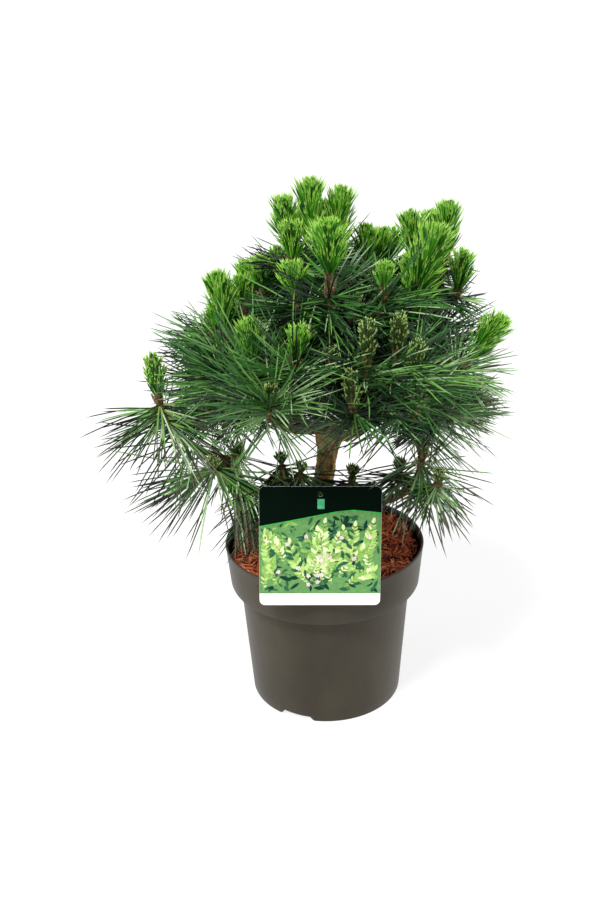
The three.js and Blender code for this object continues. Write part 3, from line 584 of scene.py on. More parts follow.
NO_TRAIL = (0, 0, 0, 0)
CROWN = {
    "crest": Mass("trunk", 300, 112, 22, 499, 62,
        sides=[(213, 28, 12, 54), (10, 30, 9, 60), (249, 48, 27, 40), (73, 42, 27, 42)], needle=42,
        close=80, dense=0.8, neck=0.1),
    "crest_front": Mass("trunk", 286, 275, 70, 483, 62, sides=[(154, 35, 37, 36), (31, 24, 69, 20)],
        needle=52, close=70, spread=29, neck=0.24),
    "right_crest": Mass("trunk", 292, 8, 114, 477, 54,
        sides=[(163, 35, 10, 50), (307, 19, 39, 42), (113, 33, 14, 44)], needle=31, close=84, dense=0.7,
        hang=0.15, neck=0.08),
    "right_upper": Mass("right_crest", 0.4, 347, 104, 465, 92, sides=[(149, 27, 26, 32)], lean=0.35,
        needle=34, close=86, dense=0.5, spread=27, neck=0.02, brush=34),
    "middle_back": Mass("crest", 0.25, 43, 59, 453, 40, sides=[(52, 25, 8, 36), (104, 46, 45, 34)],
        needle=44),
    "middle_front": Mass("crest_front", 0.35, 324, 67, 439, 28, sides=[(147, 35, 27, 20)]),
    "left_crest": Mass("trunk", 290, 164, 54, 433, 40,
        sides=[(229, 27, 12, 34), (55, 26, -3, 30), (114, 38, 13, 34)], needle=42, close=76),
    "left_upper": Mass("left_crest", 0.35, 195, 92, 430, 60,
        sides=[(79, 50, 31, 34), (106, 30, 43, 26)], needle=58, close=74, neck=0.1),
    "front_left": Mass("trunk", 276, 233, 101, 406, 44,
        sides=[(336, 46, 1, 35), (295, 41, 46, 12), (139, 32, 32, 18)], open=96, close=50, ahead=0.25),
    "front": Mass("trunk", 270, 288, 114, 409, 36, sides=[(226, 22, 37, 34), (148, 35, 29, 16)],
        open=90, close=72, ahead=-0.75, trail=NO_TRAIL),
    "front_right": Mass("front", 0.4, 306, 106, 406, 32, sides=[(327, 17, 21, 26), (317, 21, 58, 22)],
        needle=70, close=72, ahead=-0.7),
    "right": Mass("trunk", 274, 349, 160, 387, 60, sides=[(212, 61, 65, 14), (138, 59, 43, 20)],
        lean=0.75, splay=1.5, needle=53, close=48, dense=0.95, hang=0.45, ahead=0.6,
        trail=(84, 92, 66, 34)),
    "low_left": Mass("trunk", 190, 191, 151, 357, 44, sides=[(343, 52, 94, 10), (12, 72, 92, 12)],
        twig=78, splay=0.9, needle=71, open=122, close=80, dense=0.85, hang=0.22, aside=1.2, ahead=0.42,
        neck=0.2, trail=NO_TRAIL),
    "low_right": Mass("trunk", 200, 324, 107, 291, 20, sides=[(305, 22, 28, 10), (130, 29, 34, 10)],
        twig=34, needle=68, open=116, close=84, dense=0.6, aside=0.68, trail=NO_TRAIL),
    "low_front_left": Mass("low_left", 0.3, 218, 49, 260, 9, sides=[(325, 22, 4, 8)], twig=24,
        needle=92, open=124, close=92, dense=0.75, hang=0.3, trail=NO_TRAIL),
    "low_front_right": Mass("low_right", 0.25, 311, 40, 246, 9, sides=[], twig=22, needle=42, close=84,
        dense=0.5, trail=NO_TRAIL),
    "back_left": Mass("trunk", 280, 128, 98, 414, 34, turn=90, spread=34, drop=22, needle=50),
    "back": Mass("trunk", 274, 88, 104, 440, 38, turn=60, spread=36, drop=22),
    "back_right": Mass("trunk", 282, 50, 106, 440, 38, turn=10, spread=36, drop=22, needle=50),
    "low_back_left": Mass("trunk", 270, 142, 124, 354, 34, turn=130, spread=34, drop=24),
    "low_back": Mass("trunk", 266, 98, 150, 362, 36, turn=70, spread=34, drop=24),
    "low_back_right": Mass("trunk", 273, 30, 124, 380, 36, turn=40, spread=34, drop=24),
}
BOUGH_KNEE, BOUGH_ROOT_RADIUS, BRANCH_ROOT_RADIUS, BOUGH_TIP_RADIUS = (0.8, 0.3), 5.2, 4.2, 3.2
BOUGH_COLLAR, COLLAR_FADE, BOUGH_PLATE, BOUGH_RELIEF, BOUGH_RINGS, BOUGH_SIDES = 2.2, 22, 3, 0.6, 56, 24
KEPT_CLEAR = slice(0, 46, 2)
UP = np.array([0.0, 0.0, 1.0])


def compass(bearing):
    return np.array([math.cos(math.radians(bearing)), math.sin(math.radians(bearing)), 0])


def unit(vector):
    return vector / np.linalg.norm(vector)


class Bent:
    """A curve that first runs out and then turns up: its start, its knee and its end."""

    def __init__(self, start, end, out, up):
        self.start, self.end = start, end
        self.knee = mix_of(start, end, np.array([out, out, up]))

    def point(self, share):
        return (1 - share) ** 2 * self.start + 2 * share * (1 - share) * self.knee + share ** 2 * self.end

    def tangent(self, share):
        return unit((1 - share) * (self.knee - self.start) + share * (self.end - self.knee))


def leader_of(mass):
    """The tip of a mass's leading shoot, and the whorl where its bough ends."""
    out = compass(mass.bearing)
    tip = out * mass.reach + UP * mass.top
    base = tip - unit(UP + out * mass.lean) * mass.candle
    return tip, base - unit(UP + out * mass.splay) * mass.twig


bough_curves = {}
for name, mass in CROWN.items():
    root = trunk_axis(mass.start) if mass.on == "trunk" else bough_curves[mass.on].point(mass.start)
    bough_curves[name] = Bent(root, leader_of(mass)[1], *BOUGH_KNEE)

bough_wood, bough_places = Joined(), []
for name, curve in bough_curves.items():
    foot = BOUGH_ROOT_RADIUS if CROWN[name].on == "trunk" else BRANCH_ROOT_RADIUS
    shares = np.linspace(0, 1, BOUGH_RINGS)
    centres = [curve.point(s) for s in shares]
    radii = [mix_of(foot, BOUGH_TIP_RADIUS, s) + BOUGH_COLLAR * math.exp(-s * COLLAR_FADE) for s in shares]
    across = unit(np.cross(curve.tangent(0), curve.tangent(1)))
    bough_wood.add(barked_limb(centres, [curve.tangent(s) for s in shares], across, radii,
                               BOUGH_SIDES, BOUGH_PLATE, BOUGH_RELIEF))
    bough_places += [(name, *place) for place in list(zip(centres, radii))[KEPT_CLEAR]]

bough_bark = add_grain(new_finish("dark young bark", (112, 84, 52), 0.92, 0.2),
                       ((68, 50, 32), (152, 118, 76)), 240, 0.8, 0.001, (0.36, 0.62))
boughs = new_piece("bough_bark", bough_wood.points, bough_wood.faces, [bough_bark], smooth_below=60)
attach(boughs, "root")
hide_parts(*["bough_" + name for name in CROWN])


# Every whorl carries twigs of last year's wood, and each twig ends in this year's upright candle with a few
# buds round its foot. A shoot that would touch another, a limb or the pot doesn't grow. The higher a candle
# stands, the further it has grown.

BETWEEN_SHOOTS, SHOOT_CLEARANCE, MULCH_THICKNESS, SIDE_LEAN, TWIG_KNEE = 17, 3, 4, 0.15, (0.85, 0.35)
UNGROWN_BELOW, GROWN_OVER, SHORTEST_OPENED, TINY_CANDLE = 350, 75, 22, 13
masses = ["foliage_" + name for name in CROWN]


def seeded(seed):
    """A run of numbers from 0 to 1, the same each time."""
    state = seed * 2654435761 % 4294967296
    while True:
        state = (state * 1664525 + 1013904223) % 4294967296
        yield state / 4294967296


class Shoot:
    """A twig and the candle on its end."""

    def __init__(self, name, whorl, tip, axis, length):
        self.name, self.mass, self.tip, self.axis, self.length = name, CROWN[name], tip, axis, length
        self.base, self.needle = tip - axis * length, self.mass.needle
        self.twig = Bent(whorl, self.base, *TWIG_KNEE)
        self.across = unit(np.cross(self.twig.tangent(0), axis))
        grown = (tip[2] - UNGROWN_BELOW) / GROWN_OVER + self.mass.ahead
        self.grown = float(np.clip(grown, 0, 1)) if length > SHORTEST_OPENED else 0.0

    def places(self):
        low, high = self.twig.point(0.35), self.twig.point(0.7)
        return [low, high, self.base, (self.base + self.tip) / 2, self.tip]


def sides_of(mass, draw):
    """Bearing, distance aside, drop and candle of each side shoot, as listed or as drawn."""
    if mass.sides is not None:
        return mass.sides
    sides = []
    for i in range(mass.shoots):
        bearing = mass.turn + i * 360 / mass.shoots + mix_of(-15, 15, next(draw))
        outward = max(compass(bearing) @ compass(mass.bearing), 0)
        aside = mass.spread * mix_of(0.85, 1.15, next(draw)) * (1 - outward / 2)
        below = mass.drop * mix_of(0.6, 1.4, next(draw)) * (1 + outward)
        sides.append((bearing, aside, below, mass.candle * mix_of(0.75, 1.05, next(draw))))
    return sides


def shoots_of(name, mass, draw):
    """The leader of one mass and its side shoots."""
    tip, whorl = leader_of(mass)
    found = [Shoot(name, whorl, tip, unit(UP + compass(mass.bearing) * mass.lean), mass.candle)]
    for bearing, aside, below, length in sides_of(mass, draw):
        side = compass(bearing)
        shoot = Shoot(name, whorl, tip + side * aside - UP * below, unit(UP + side * SIDE_LEAN), length)
        shoot.needle *= mass.aside
        found.append(shoot)
    return found


def clear_of_pot(points, clear):
    """True for each point that is clear of the pot and the mulch, and isn't in or in front of the label."""
    x, y, z = points[..., 0], points[..., 1], points[..., 2]
    out = np.hypot(x, y)
    outside = (z > POT_HEIGHT + clear) | (out > RIM_RADIUS + clear)
    inside = (out < RIM_RADIUS - POT_WALL - clear) & (z > MIX_TOP + MULCH_THICKNESS + clear)
    lift = z - CARD_FOOT
    behind = y - CARD_FOOT_Y - lift * math.tan(math.radians(CARD_LEAN))
    beside = np.abs(x - CARD_CENTRE_X) > CARD_WIDTH / 2 + 1 + clear
    return (outside | inside) & (beside | (lift > CARD_HEIGHT + 1 + clear) | (behind > 2 + clear))


def clear_of_trunk(points, clear):
    height = np.clip(points[..., 2], TRUNK_FOOT, TRUNK_TOP)
    share = (height - TRUNK_FOOT) / (TRUNK_TOP - TRUNK_FOOT)
    x, y = TRUNK_FOOT_X + TRUNK_LEAN * share ** 1.8, TRUNK_SWAY * np.sin(3 * share)
    apart = np.sqrt((points[..., 0] - x) ** 2 + (points[..., 1] - y) ** 2 + (points[..., 2] - height) ** 2)
    return apart > TRUNK_RADIUS + clear


def clear_of_boughs(points, clear, without=None):
    centres = np.array([place for name, place, _ in bough_places if name != without])
    radii = np.array([radius for name, _, radius in bough_places if name != without])
    flat, at_once = points.reshape(-1, 3), 20000
    free = np.ones(len(flat), bool)
    for first in range(0, len(flat), at_once):
        part = flat[first:first + at_once]
        apart = np.linalg.norm(part[:, None] - centres[None], axis=2) - radii
        free[first:first + at_once] = apart.min(axis=1) > clear
    return free.reshape(points.shape[:-1])


started = []
for number, (name, mass) in enumerate(CROWN.items()):
    for shoot in shoots_of(name, mass, seeded(number + 1)):
        if all(np.linalg.norm(other.base - shoot.base) > BETWEEN_SHOOTS for other in started):
            started.append(shoot)
shoots = []
for shoot in started:
    places = np.array(shoot.places())
    others = np.array([place for other in started if other is not shoot for place in other.places()])
    roomy = np.linalg.norm(places[:, None] - others[None], axis=2).min() > 2 * SHOOT_CLEARANCE
    free = clear_of_pot(places, SHOOT_CLEARANCE) & clear_of_boughs(places, 1 + SHOOT_CLEARANCE, shoot.name)
    if roomy and free.all():
        shoots.append(shoot)


TWIG_SEED, TWIG_RADIUS, TWIG_RINGS, TWIG_SIDES, TWIG_SCALE_ROWS, TWIG_RELIEF = 300, 2.7, 26, 12, 16, 0.3
CANDLE_RINGS, CANDLE_SIDES, CANDLE_SCALE_HEIGHT, CANDLE_RELIEF = 24, 14, 3.2, 0.26
BUD_RINGS, BUD_SIDES, BUD_SCALE_ROWS, BUD_RELIEF, BUD_LENGTHS, BUD_RADIUS = 9, 8, 5, 0.3, (6, 12), 1.9
BUD_TURN, BUD_LEANS = 2.4, (0.3, 0.7)


def scaly_round(centres, radii, across, tangents, sides, scale_rows, relief):
    """Points and faces of a round with overlapping scales in spirals, closed at both ends."""
    points = []
    for ring, (centre, radius, tangent) in enumerate(zip(centres, radii, tangents)):
        beside = np.cross(across, tangent)
        row = ring / (len(centres) - 1) * scale_rows
        for k in range(sides):
            angle = k * 2 * math.pi / sides
            wave = (row + 0.5 * math.cos(angle * 4 + math.pi * math.floor(row))) % 1
            wide = radius * (1 + relief * (wave - 0.5))
            points.append(centre + around(across, beside, angle) * wide)
    return points, limb_faces(len(centres), sides)


def candle_radius(shoot, share):
    thick = min(3.4, shoot.length * 0.18) * mix_of(1, 0.85, shoot.grown)
    return thick * math.sin(math.pi * mix_of(0.25, 0.8, share))


def twig_of(shoot):
    """Last year's wood under a candle, a little thicker at both ends."""
    shares = np.linspace(0, 1, TWIG_RINGS)
    radii = [mix_of(TWIG_RADIUS + 0.3, TWIG_RADIUS, s) + 1.1 * max(s - 0.8, 0) * 5 for s in shares]
    centres, tangents = [shoot.twig.point(s) for s in shares], [shoot.twig.tangent(s) for s in shares]
    return scaly_round(centres, radii, shoot.across, tangents, TWIG_SIDES, TWIG_SCALE_ROWS, TWIG_RELIEF)


def candle_of(shoot):
    """The scaly stem of a candle. Its bare end is shorter once its needles have opened."""
    shares = np.linspace(0, 1, CANDLE_RINGS)
    top = mix_of(0.97, 0.84, shoot.grown)
    radii = [candle_radius(shoot, s) * (1 - s ** 6) + 0.25 for s in shares]
    centres = [shoot.base + shoot.axis * (s * top * shoot.length) for s in shares]
    return scaly_round(centres, radii, shoot.across, [shoot.axis] * CANDLE_RINGS, CANDLE_SIDES,
                       shoot.length / CANDLE_SCALE_HEIGHT, CANDLE_RELIEF)


def bud_of(shoot, number, draw):
    """One of the buds that stand out round the foot of a candle."""
    angle = number * BUD_TURN + draw.uniform(0, 1)
    side = around(shoot.across, np.cross(shoot.axis, shoot.across), angle)
    lean = unit(shoot.axis + side * draw.uniform(*BUD_LEANS))
    length = draw.uniform(*BUD_LENGTHS)
    shares = np.linspace(0, 1, BUD_RINGS)
    centres = [shoot.base + side * 1.5 + lean * length * s for s in shares]
    radii = [BUD_RADIUS * math.sin(math.pi * mix_of(0.28, 0.98, s)) + 0.1 for s in shares]
    across = unit(np.cross(lean, side + UP * 0.2))
    return scaly_round(centres, radii, across, [lean] * BUD_RINGS, BUD_SIDES, BUD_SCALE_ROWS, BUD_RELIEF)


TAN_SCALES, KHAKI_SCALES, BUD_SCALES = range(3)
twig_wood, candle_wood = Joined(), Joined()
for number, shoot in enumerate(shoots):
    draw = np.random.default_rng(number + TWIG_SEED)
    twig_wood.add(twig_of(shoot))
    candle_wood.add(candle_of(shoot), TAN_SCALES if shoot.grown > 0.5 else KHAKI_SCALES)
    for bud in range(0 if shoot.length < TINY_CANDLE else int(draw.integers(3, 6))):
        candle_wood.add(bud_of(shoot, bud, draw), BUD_SCALES)

twig_bark = add_grain(new_finish("last year's twig bark", (98, 74, 50), 0.9, 0.2),
                      ((58, 42, 30), (126, 98, 64)), 330, 1, 0.0008)
twigs = new_piece("twig_wood", twig_wood.points, twig_wood.faces, [twig_bark], smooth_below=50)
candle_finishes = [add_grain(new_finish(name, light, 0.8, 0.2), (dark, light), 420, 1, 0.0006)
                   for name, dark, light in [
    ("tan candle scales", (42, 32, 22), (104, 86, 58)),
    ("khaki candle scales", (36, 32, 18), (84, 76, 44)),
    ("brown bud scales", (50, 38, 24), (142, 120, 80)),
]]
candles = new_piece("candle_scales", candle_wood.points, candle_wood.faces, candle_finishes,
                    candle_wood.finishes, smooth_below=50)
for piece in (twigs, candles):
    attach(piece, "root")
    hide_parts(*masses)


# Last year's needles are long, stiff and dark, in pairs all round the twigs and the boughs' ends. Their
# upper sides are painted lighter as a painted highlight, and needles turned in towards the crown's heart
# are painted a tone darker as painted shade. On the lowest sprays they hang, and their tips have withered.

NEEDLE_RADIUS, LOW_NEEDLE_RADIUS, NEEDLE_SMOOTHING, GOLDEN_TURN = 0.7, 0.8, 80, 2.39996
HANG_LEAST, HANG_MOST, HANG_BELOW, HANG_OVER, CANDLE_ROOM, BOX_MARGIN = 0.08, 0.8, 330, 90, 9, 6
PAIR_FORK, PAIR_SWING, NEEDLE_SWING, OLD_LENGTHS, OLD_BOW = 0.06, 17, 4, (0.8, 1.14), 0.03
NEEDLE_BANDS, NEEDLE_WIDTHS = np.array([0, 0.25, 0.58, 0.88]), np.array([0.85, 1, 0.95, 0.7])


def rows_of_unit(vectors):
    return vectors / np.linalg.norm(vectors, axis=-1, keepdims=True)


def needle_meshes(roots, middles, tips, radius, bands, widths):
    """Points and triangles of many three-sided needles, each bent through its middle to a sharp tip."""
    directions = rows_of_unit(tips - roots)
    aside = rows_of_unit(np.cross(directions, np.where(np.abs(directions[:, 2:]) < 0.9, UP, [1.0, 0, 0])))
    other = np.cross(directions, aside)
    rings = []
    for share, width in zip(bands, widths):
        centre = (1 - share) ** 2 * roots + 2 * share * (1 - share) * middles + share ** 2 * tips
        for k in range(3):
            rings.append(centre + around(aside, other, k * 2 * math.pi / 3) * radius * width)
    points = np.stack([*rings, tips], axis=1)
    last = 3 * len(bands)
    faces = [(0, 2, 1)]
    for band in range(len(bands) - 1):
        for k in range(3):
            low, low_next = band * 3 + k, band * 3 + (k + 1) % 3
            faces += [(low, low_next, low_next + 3), (low, low_next + 3, low + 3)]
    faces += [(last - 3 + k, last - 3 + (k + 1) % 3, last) for k in range(3)]
    all_faces = np.array(faces)[None] + np.arange(len(roots))[:, None, None] * (last + 1)
    return points.reshape(-1, 3), all_faces.reshape(-1, 3)


def triangles_of(bands):
    """How many triangles a needle has: one at its foot, six from band to band and three at its tip."""
    return 6 * len(bands) - 2


def upper_faces(bands):
    """Which of a needle's triangles lie on its upper side."""
    return [1 + band * 6 + k for band in range(len(bands) - 1) for k in (4, 5)] + [triangles_of(bands) - 1]


def within_reach(roots, tips):
    """The tips, drawn back towards their roots where they would pass the plant's outermost points."""
    low, high = np.array(solid_box) * 1000
    low, high = low - BOX_MARGIN, high + BOX_MARGIN
    along = tips - roots
    room = np.where(along > 0, high - roots, low - roots) / np.where(np.abs(along) < 0.001, 0.001, along)
    share = np.clip(room.min(axis=1, keepdims=True), 0.2, 1)
    return roots + along * share


def pair_of(side, axis, fork, spread, swing, draw):
    """How far each needle of a pair opens from its limb's axis, in radians, and where it points."""
    for lean in (-fork, fork):
        opened = math.radians(spread + draw.normal(0, swing))
        swung = unit(side + np.cross(axis, side) * (lean + draw.normal(0, 0.05)))
        yield opened, swung * math.sin(opened) + axis * math.cos(opened)


def old_sprays(limb, axis, across, shares, opening, length, hang, draw):
    """Roots, middles and tips of the needles that have room on a limb, in pairs at those shares of it."""
    angles = np.arange(len(shares)) * GOLDEN_TURN + draw.normal(0, 0.2, len(shares))
    roots, directions = [], []
    for share, angle in zip(shares, angles):
        outward = around(across, np.cross(across, limb.tangent(share)), angle)
        side = unit(outward - axis * (outward @ axis))
        spread = mix_of(*opening, share) + draw.normal(0, PAIR_SWING)
        for _, direction in pair_of(side, axis, PAIR_FORK, spread, NEEDLE_SWING, draw):
            roots.append(limb.point(share) + outward * TWIG_RADIUS * 0.6)
            directions.append(direction)
    roots, directions = np.array(roots), np.array(directions)
    low = np.clip((HANG_BELOW - roots[:, 2]) / HANG_OVER, 0, 1)[:, None]
    hangs = hang + mix_of(HANG_LEAST, HANG_MOST, low) * draw.uniform(0, 1.6, (len(roots), 1))
    directions = rows_of_unit(directions - UP * hangs)
    lengths = length * draw.uniform(*OLD_LENGTHS, (len(roots), 1))
    tips = within_reach(roots, roots + directions * lengths)
    bow = draw.normal(0, OLD_BOW, (len(roots), 3)) + UP * draw.uniform(0, 0.05, (len(roots), 1))
    middles = (roots + tips) / 2 + bow * lengths
    samples = np.stack([mix_of(roots, tips, s) for s in (0.3, 0.5, 0.7, 0.85, 1)], axis=1)
    free = clear_of_pot(samples, 1) & clear_of_trunk(samples, 1.5) & clear_of_boughs(samples, 0.8)
    candles_near = [shoot for shoot in shoots if shoot.twig is not limb]
    places = np.array([mix_of(near.base, near.tip, s) for near in candles_near for s in (0.2, 0.5, 0.8)])
    free &= np.linalg.norm(samples[:, :, None] - places, axis=-1).min(axis=-1) > CANDLE_ROOM
    kept = free.all(axis=1)
    return roots[kept], middles[kept], tips[kept]


# The palest green and the withered needle highlight are used only on needles' upper sides, as painted
# highlight.
old_greens = [new_finish(*row) for row in [
    ("darkest needle green", (5, 20, 8), 0.38, 0.4),
    ("dark needle green", (20, 52, 22), 0.36, 0.5),
    ("needle green", (48, 100, 38), 0.36, 0.5),
    ("light needle green", (98, 146, 68), 0.34, 0.5),
    ("palest needle green painted highlight", (152, 178, 132), 0.38, 0.5),
    ("pale needle foot", (112, 140, 74), 0.45, 0.4),
    ("withered needle", (30, 36, 20), 0.5, 0.3),
    ("withered needle painted highlight", (64, 70, 44), 0.5, 0.3),
]]
PAINTED_HIGHLIGHT_TONE, NEEDLE_FOOT, WITHERED, WITHERED_HIGHLIGHT = 4, 5, 6, 7
# Sprays on the lit masses draw lighter tones and those on the others darker ones: painted light and shade.
SHADED_SPRAYS, LIT_SPRAYS, NEEDLES_ALIKE = (0.34, 0.34, 0.25, 0.07), (0.08, 0.22, 0.38, 0.32), 4
SHADED_TURN_IN, DOUBLE_HIGHLIGHT_SHARE, PALE_FEET, LOW_WITHERED, HIGH_WITHERED = 8, 0.45, 0.4, 0.8, 0.12
WITHERS_BELOW, FOOT_FACES, LOW_WITHERED_FACES, HIGH_WITHERED_FACES = 330, 7, 9, 3
LIT_MASSES = ("right", "low_left", "low_right", "left_upper", "left_crest", "front_left")
CROWN_HEART = np.array([0.0, 10.0, 300.0])


def old_colours(roots, tips, lit, withers, draw):
    """A finish for each triangle of the needles: painted shade where they turn in, a painted highlight on
    their upper sides, and lighter tones on lit masses and darker on the rest, as painted light and shade.
    """
    upper, count = upper_faces(NEEDLE_BANDS), len(roots)
    odds = LIT_SPRAYS if lit else SHADED_SPRAYS
    sprays = draw.choice(4, size=count // NEEDLES_ALIKE + 1, p=odds)
    sprays = np.repeat(sprays, NEEDLES_ALIKE)[:count]
    # Needles that point little or no further out from the crown's heart drop a tone darker: painted shade.
    outward = np.linalg.norm(tips - CROWN_HEART, axis=1) - np.linalg.norm(roots - CROWN_HEART, axis=1)
    sprays = np.where(outward < SHADED_TURN_IN, np.maximum(sprays - 1, 0), sprays)
    colours = np.repeat(sprays[:, None], triangles_of(NEEDLE_BANDS), axis=1)
    # Upper sides are lifted one tone lighter, two on some needles of lit masses: painted highlight.
    highlight_lift = np.where(draw.random(count) < (DOUBLE_HIGHLIGHT_SHARE if lit else 0), 2, 1)
    colours[:, upper] = np.minimum(colours[:, upper] + highlight_lift[:, None], PAINTED_HIGHLIGHT_TONE)
    if withers:
        colours[draw.random(count) < PALE_FEET, :FOOT_FACES] = NEEDLE_FOOT
    dry = draw.random(count) < (LOW_WITHERED if withers else HIGH_WITHERED)
    dry_faces = LOW_WITHERED_FACES if withers else HIGH_WITHERED_FACES
    colours[dry, -dry_faces:] = WITHERED
    # The upper sides of withered tips get a lighter withered tone: painted highlight.
    dry_highlight_faces = [face for face in upper if face >= colours.shape[1] - dry_faces]
    colours[np.ix_(dry, dry_highlight_faces)] = WITHERED_HIGHLIGHT
    return colours


def add_needles(names, batches, bands, widths, finishes):
    """Deals batches of roots, middles, tips, radius and finish numbers out to meshes of those names."""
    for number, name in enumerate(names):
        points, faces, numbers, placed = [], [], [], 0
        for *curves, radius, colours in batches[number::len(names)]:
            made, triangles = needle_meshes(*curves, radius, bands, widths)
            points.append(made)
            faces.append(triangles + placed)
            numbers.append(colours.reshape(-1))
            placed += len(made)
        needles = new_piece(name, np.concatenate(points), np.concatenate(faces), finishes,
                            np.concatenate(numbers), NEEDLE_SMOOTHING)
        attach(needles, "root")
        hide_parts(*masses)


OLD_SEED, TRAIL_SEED, PAIRS_PER_TWIG, BARE_TWIG, BARE_BOUGH = 500, 700, 86, 0.16, 0.6
old_batches = []
for number, shoot in enumerate(shoots):
    draw = np.random.default_rng(number + OLD_SEED)
    twig_share = min(np.linalg.norm(shoot.twig.end - shoot.twig.start) / 50, 1.6)
    pairs = int(PAIRS_PER_TWIG * (0.55 + 0.45 * twig_share) * shoot.mass.dense)
    shares = BARE_TWIG + (1 - BARE_TWIG) * np.sqrt(draw.random(pairs))
    opening, hang = (shoot.mass.open, shoot.mass.close), shoot.mass.hang
    roots, middles, tips = old_sprays(
        shoot.twig, shoot.axis, shoot.across, shares, opening, shoot.needle, hang, draw)
    withers = shoot.base[2] < WITHERS_BELOW
    colours = old_colours(roots, tips, shoot.name in LIT_MASSES, withers, draw)
    old_batches.append((roots, middles, tips, LOW_NEEDLE_RADIUS if withers else NEEDLE_RADIUS, colours))
for number, (name, curve) in enumerate(bough_curves.items()):
    draw = np.random.default_rng(number + TRAIL_SEED)
    pairs, length, *opening = CROWN[name].trail
    if pairs == 0:
        continue
    shares = draw.uniform(BARE_BOUGH, 1, pairs)
    axis = curve.tangent(0.85)
    across = unit(np.cross(axis, [0.3, 0.1, 1]))
    roots, middles, tips = old_sprays(
        curve, axis, across, shares, opening, length, CROWN[name].hang, draw)
    if len(roots):
        colours = old_colours(roots, tips, name in LIT_MASSES, curve.end[2] < WITHERS_BELOW - 40, draw)
        old_batches.append((roots, middles, tips, NEEDLE_RADIUS, colours))
add_needles(["old_needles_1", "old_needles_2"], old_batches, NEEDLE_BANDS, NEEDLE_WIDTHS, old_greens)


# This year's needles are soft and bright. They stand in pairs close round each candle and open like a brush
# with a flat top. On the lower candles they have only begun to leave their pale sheaths.

YOUNG_SEED, YOUNG_BOW, YOUNG_RADIUS, CLOSED_RADIUS = 1300, 0.03, 0.62, 0.85
YOUNG_PAIRS_PER_MM, CLOSED_PAIRS_PER_MM = 2.8, 2.2
YOUNG_TOP_SPREAD, CLOSED_SPREAD, CLOSED_LENGTH, OPENS_AT, WIDE_OPEN_AT = 10, 24, 12, 0.3, 0.75
YOUNG_PAIR_SWING, YOUNG_SWING, YOUNG_FORK, YOUNG_LENGTHS, SHORTEST_YOUNG = 6, 2, 0.05, (0.75, 1.1), 3.5
BRACTS_PER_MM, BRACT_LENGTH, BRACT_RADIUS, BRACT_LEAN, BRACT_KINDS = 4, 5.4, 0.8, 0.45, (0.4, 0.2, 0.4)
YOUNG_BANDS, YOUNG_WIDTHS = np.array([0, 0.45, 0.8]), np.array([0.9, 1, 0.8])
SHEATH_BANDS, SHEATH_WIDTHS = np.array([0]), np.array([1])


def young_sprays(shoot, draw):
    """Roots, directions and lengths of one candle's needles, in pairs up the candle."""
    pairs = int(mix_of(CLOSED_PAIRS_PER_MM, YOUNG_PAIRS_PER_MM, shoot.grown) * (shoot.length + 8))
    lowest, highest = mix_of(0.02, shoot.mass.neck, shoot.grown), mix_of(0.99, 0.96, shoot.grown)
    shares = draw.uniform(lowest, highest, pairs)
    angles = np.arange(pairs) * GOLDEN_TURN + draw.normal(0, 0.15, pairs)
    beside = np.cross(shoot.axis, shoot.across)
    longest = mix_of(CLOSED_LENGTH, min(shoot.mass.brush, 10 + shoot.length * 0.34), shoot.grown)
    over = mix_of(4, 0, shoot.grown)
    widest = mix_of(CLOSED_SPREAD, shoot.mass.spread, shoot.grown)
    roots, directions, lengths = [], [], []
    for share, angle in zip(shares, angles):
        side = around(shoot.across, beside, angle)
        centre, out = shoot.base + shoot.axis * shoot.length * share, candle_radius(shoot, share)
        spread = mix_of(widest, YOUNG_TOP_SPREAD, max(share - 0.6, 0) / 0.4)
        spread += draw.normal(0, YOUNG_PAIR_SWING)
        for opened, direction in pair_of(side, shoot.axis, YOUNG_FORK, spread, YOUNG_SWING, draw):
            roots.append(centre + side * out * 0.8)
            directions.append(unit(direction))
            room = (1.03 - share) * shoot.length / math.cos(opened) + over + draw.uniform(-5, 2.5)
            lengths.append(max(min(longest * draw.uniform(*YOUNG_LENGTHS), room), SHORTEST_YOUNG))
    return np.array(roots), np.array(directions), np.array(lengths)[:, None]


young_greens = [new_finish(*row) for row in [
    ("young needle dark green", (28, 82, 16), 0.42, 0.4),
    ("young needle green", (66, 142, 28), 0.42, 0.4),
    ("young needle light green", (112, 178, 50), 0.42, 0.4),
    ("young needle tip", (156, 202, 82), 0.42, 0.4),
    ("dark olive needle", (50, 78, 26), 0.45, 0.4),
    ("olive needle", (94, 134, 52), 0.45, 0.4),
    ("pale olive needle tip", (164, 182, 108), 0.5, 0.3),
]]
sheath_finishes = [new_finish(*row) for row in [
    ("tan sheath", (146, 130, 84), 0.6, 0.3),
    ("olive sheath", (106, 120, 60), 0.6, 0.3),
    ("brown bract", (84, 62, 46), 0.7, 0.25),
]]
YOUNG_TIP, DARK_OLIVE, OLIVE_TIP, OLIVE_TIP_FACES = 3, 4, 6, (11, 12)
TAN_SHEATH, OLIVE_SHEATH = 0, 1
OPEN_ODDS, OPENING_ODDS, CLOSED_ODDS = (0.3, 0.38, 0.32, 0, 0), (0.35, 0.35, 0.05, 0, 0.25), (0, 0, 0, 0, 1)


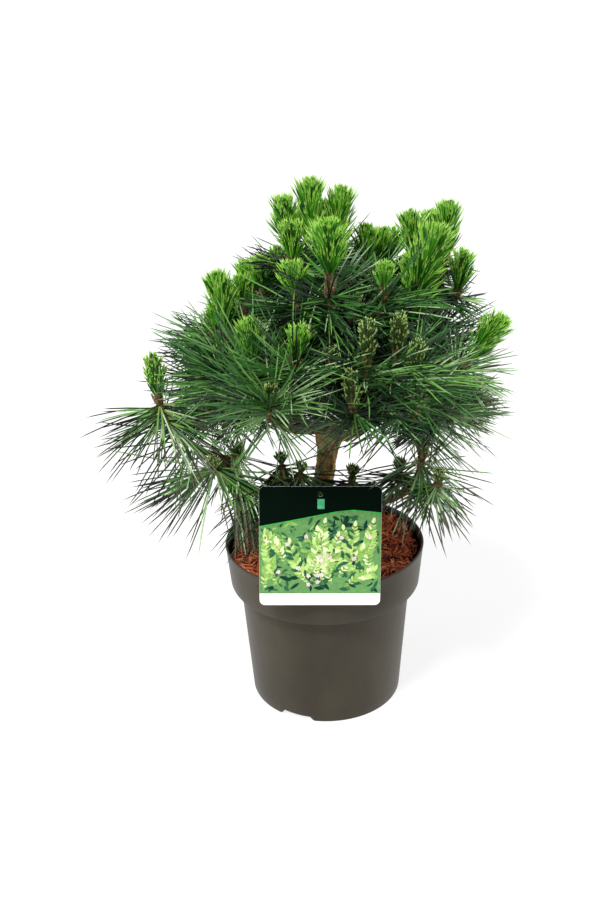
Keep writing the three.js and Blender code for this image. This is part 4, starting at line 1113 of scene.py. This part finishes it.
def young_colours(count, grown, draw):
    """A finish for each triangle of a candle's needles, a tone lighter on their upper sides as a painted
    highlight, and lighter at their tips.
    """
    odds = OPEN_ODDS if grown >= WIDE_OPEN_AT else OPENING_ODDS if grown >= OPENS_AT else CLOSED_ODDS
    sprays = np.repeat(draw.choice(5, size=count // 2 + 1, p=odds), 2)[:count]
    colours = np.repeat(sprays[:, None], triangles_of(YOUNG_BANDS), axis=1)
    # Upper sides one tone lighter: painted highlight.
    colours[:, upper_faces(YOUNG_BANDS)] += 1
    colours[:, -3:] = np.where(sprays == DARK_OLIVE, OLIVE_TIP, YOUNG_TIP)[:, None]
    colours[np.ix_(sprays == DARK_OLIVE, OLIVE_TIP_FACES)] = OLIVE_TIP
    return colours


young_batches, sheath_batches = [], []
for number, shoot in enumerate(shoots):
    draw = np.random.default_rng(number + YOUNG_SEED)
    roots, directions, lengths = young_sprays(shoot, draw)
    tips = roots + directions * lengths
    middles = (roots + tips) / 2 + draw.normal(0, YOUNG_BOW, (len(roots), 3)) * lengths
    radius = mix_of(CLOSED_RADIUS, YOUNG_RADIUS, shoot.grown)
    young_batches.append((roots, middles, tips, radius, young_colours(len(roots), shoot.grown, draw)))
    ends = roots + directions * mix_of(4.2, 3.4, shoot.grown)
    sheath = TAN_SHEATH if shoot.grown > OPENS_AT else OLIVE_SHEATH
    sheaths = np.full(len(roots) * triangles_of(SHEATH_BANDS), sheath)
    sheath_batches.append((roots, (roots + ends) / 2, ends, mix_of(0.95, 0.8, shoot.grown), sheaths))
    neck = shoot.mass.neck + 0.1
    bracts = int(shoot.length * neck * BRACTS_PER_MM)
    shares, angles = draw.uniform(0, neck, bracts), np.arange(bracts)[:, None] * GOLDEN_TURN
    sides = shoot.across * np.cos(angles) + np.cross(shoot.axis, shoot.across) * np.sin(angles)
    wides = np.array([candle_radius(shoot, share) for share in shares])
    feet = shoot.base + shoot.axis * (shares * shoot.length)[:, None] + sides * (wides * 0.8)[:, None]
    ends = feet + (shoot.axis + sides * BRACT_LEAN) * BRACT_LENGTH
    kinds = np.repeat(draw.choice(3, size=bracts, p=BRACT_KINDS), triangles_of(SHEATH_BANDS))
    sheath_batches.append((feet, (feet + ends) / 2, ends, BRACT_RADIUS, kinds))
add_needles(["young_needles_1", "young_needles_2"], young_batches, YOUNG_BANDS, YOUNG_WIDTHS, young_greens)
add_needles(["needle_sheaths"], sheath_batches, SHEATH_BANDS, SHEATH_WIDTHS, sheath_finishes)
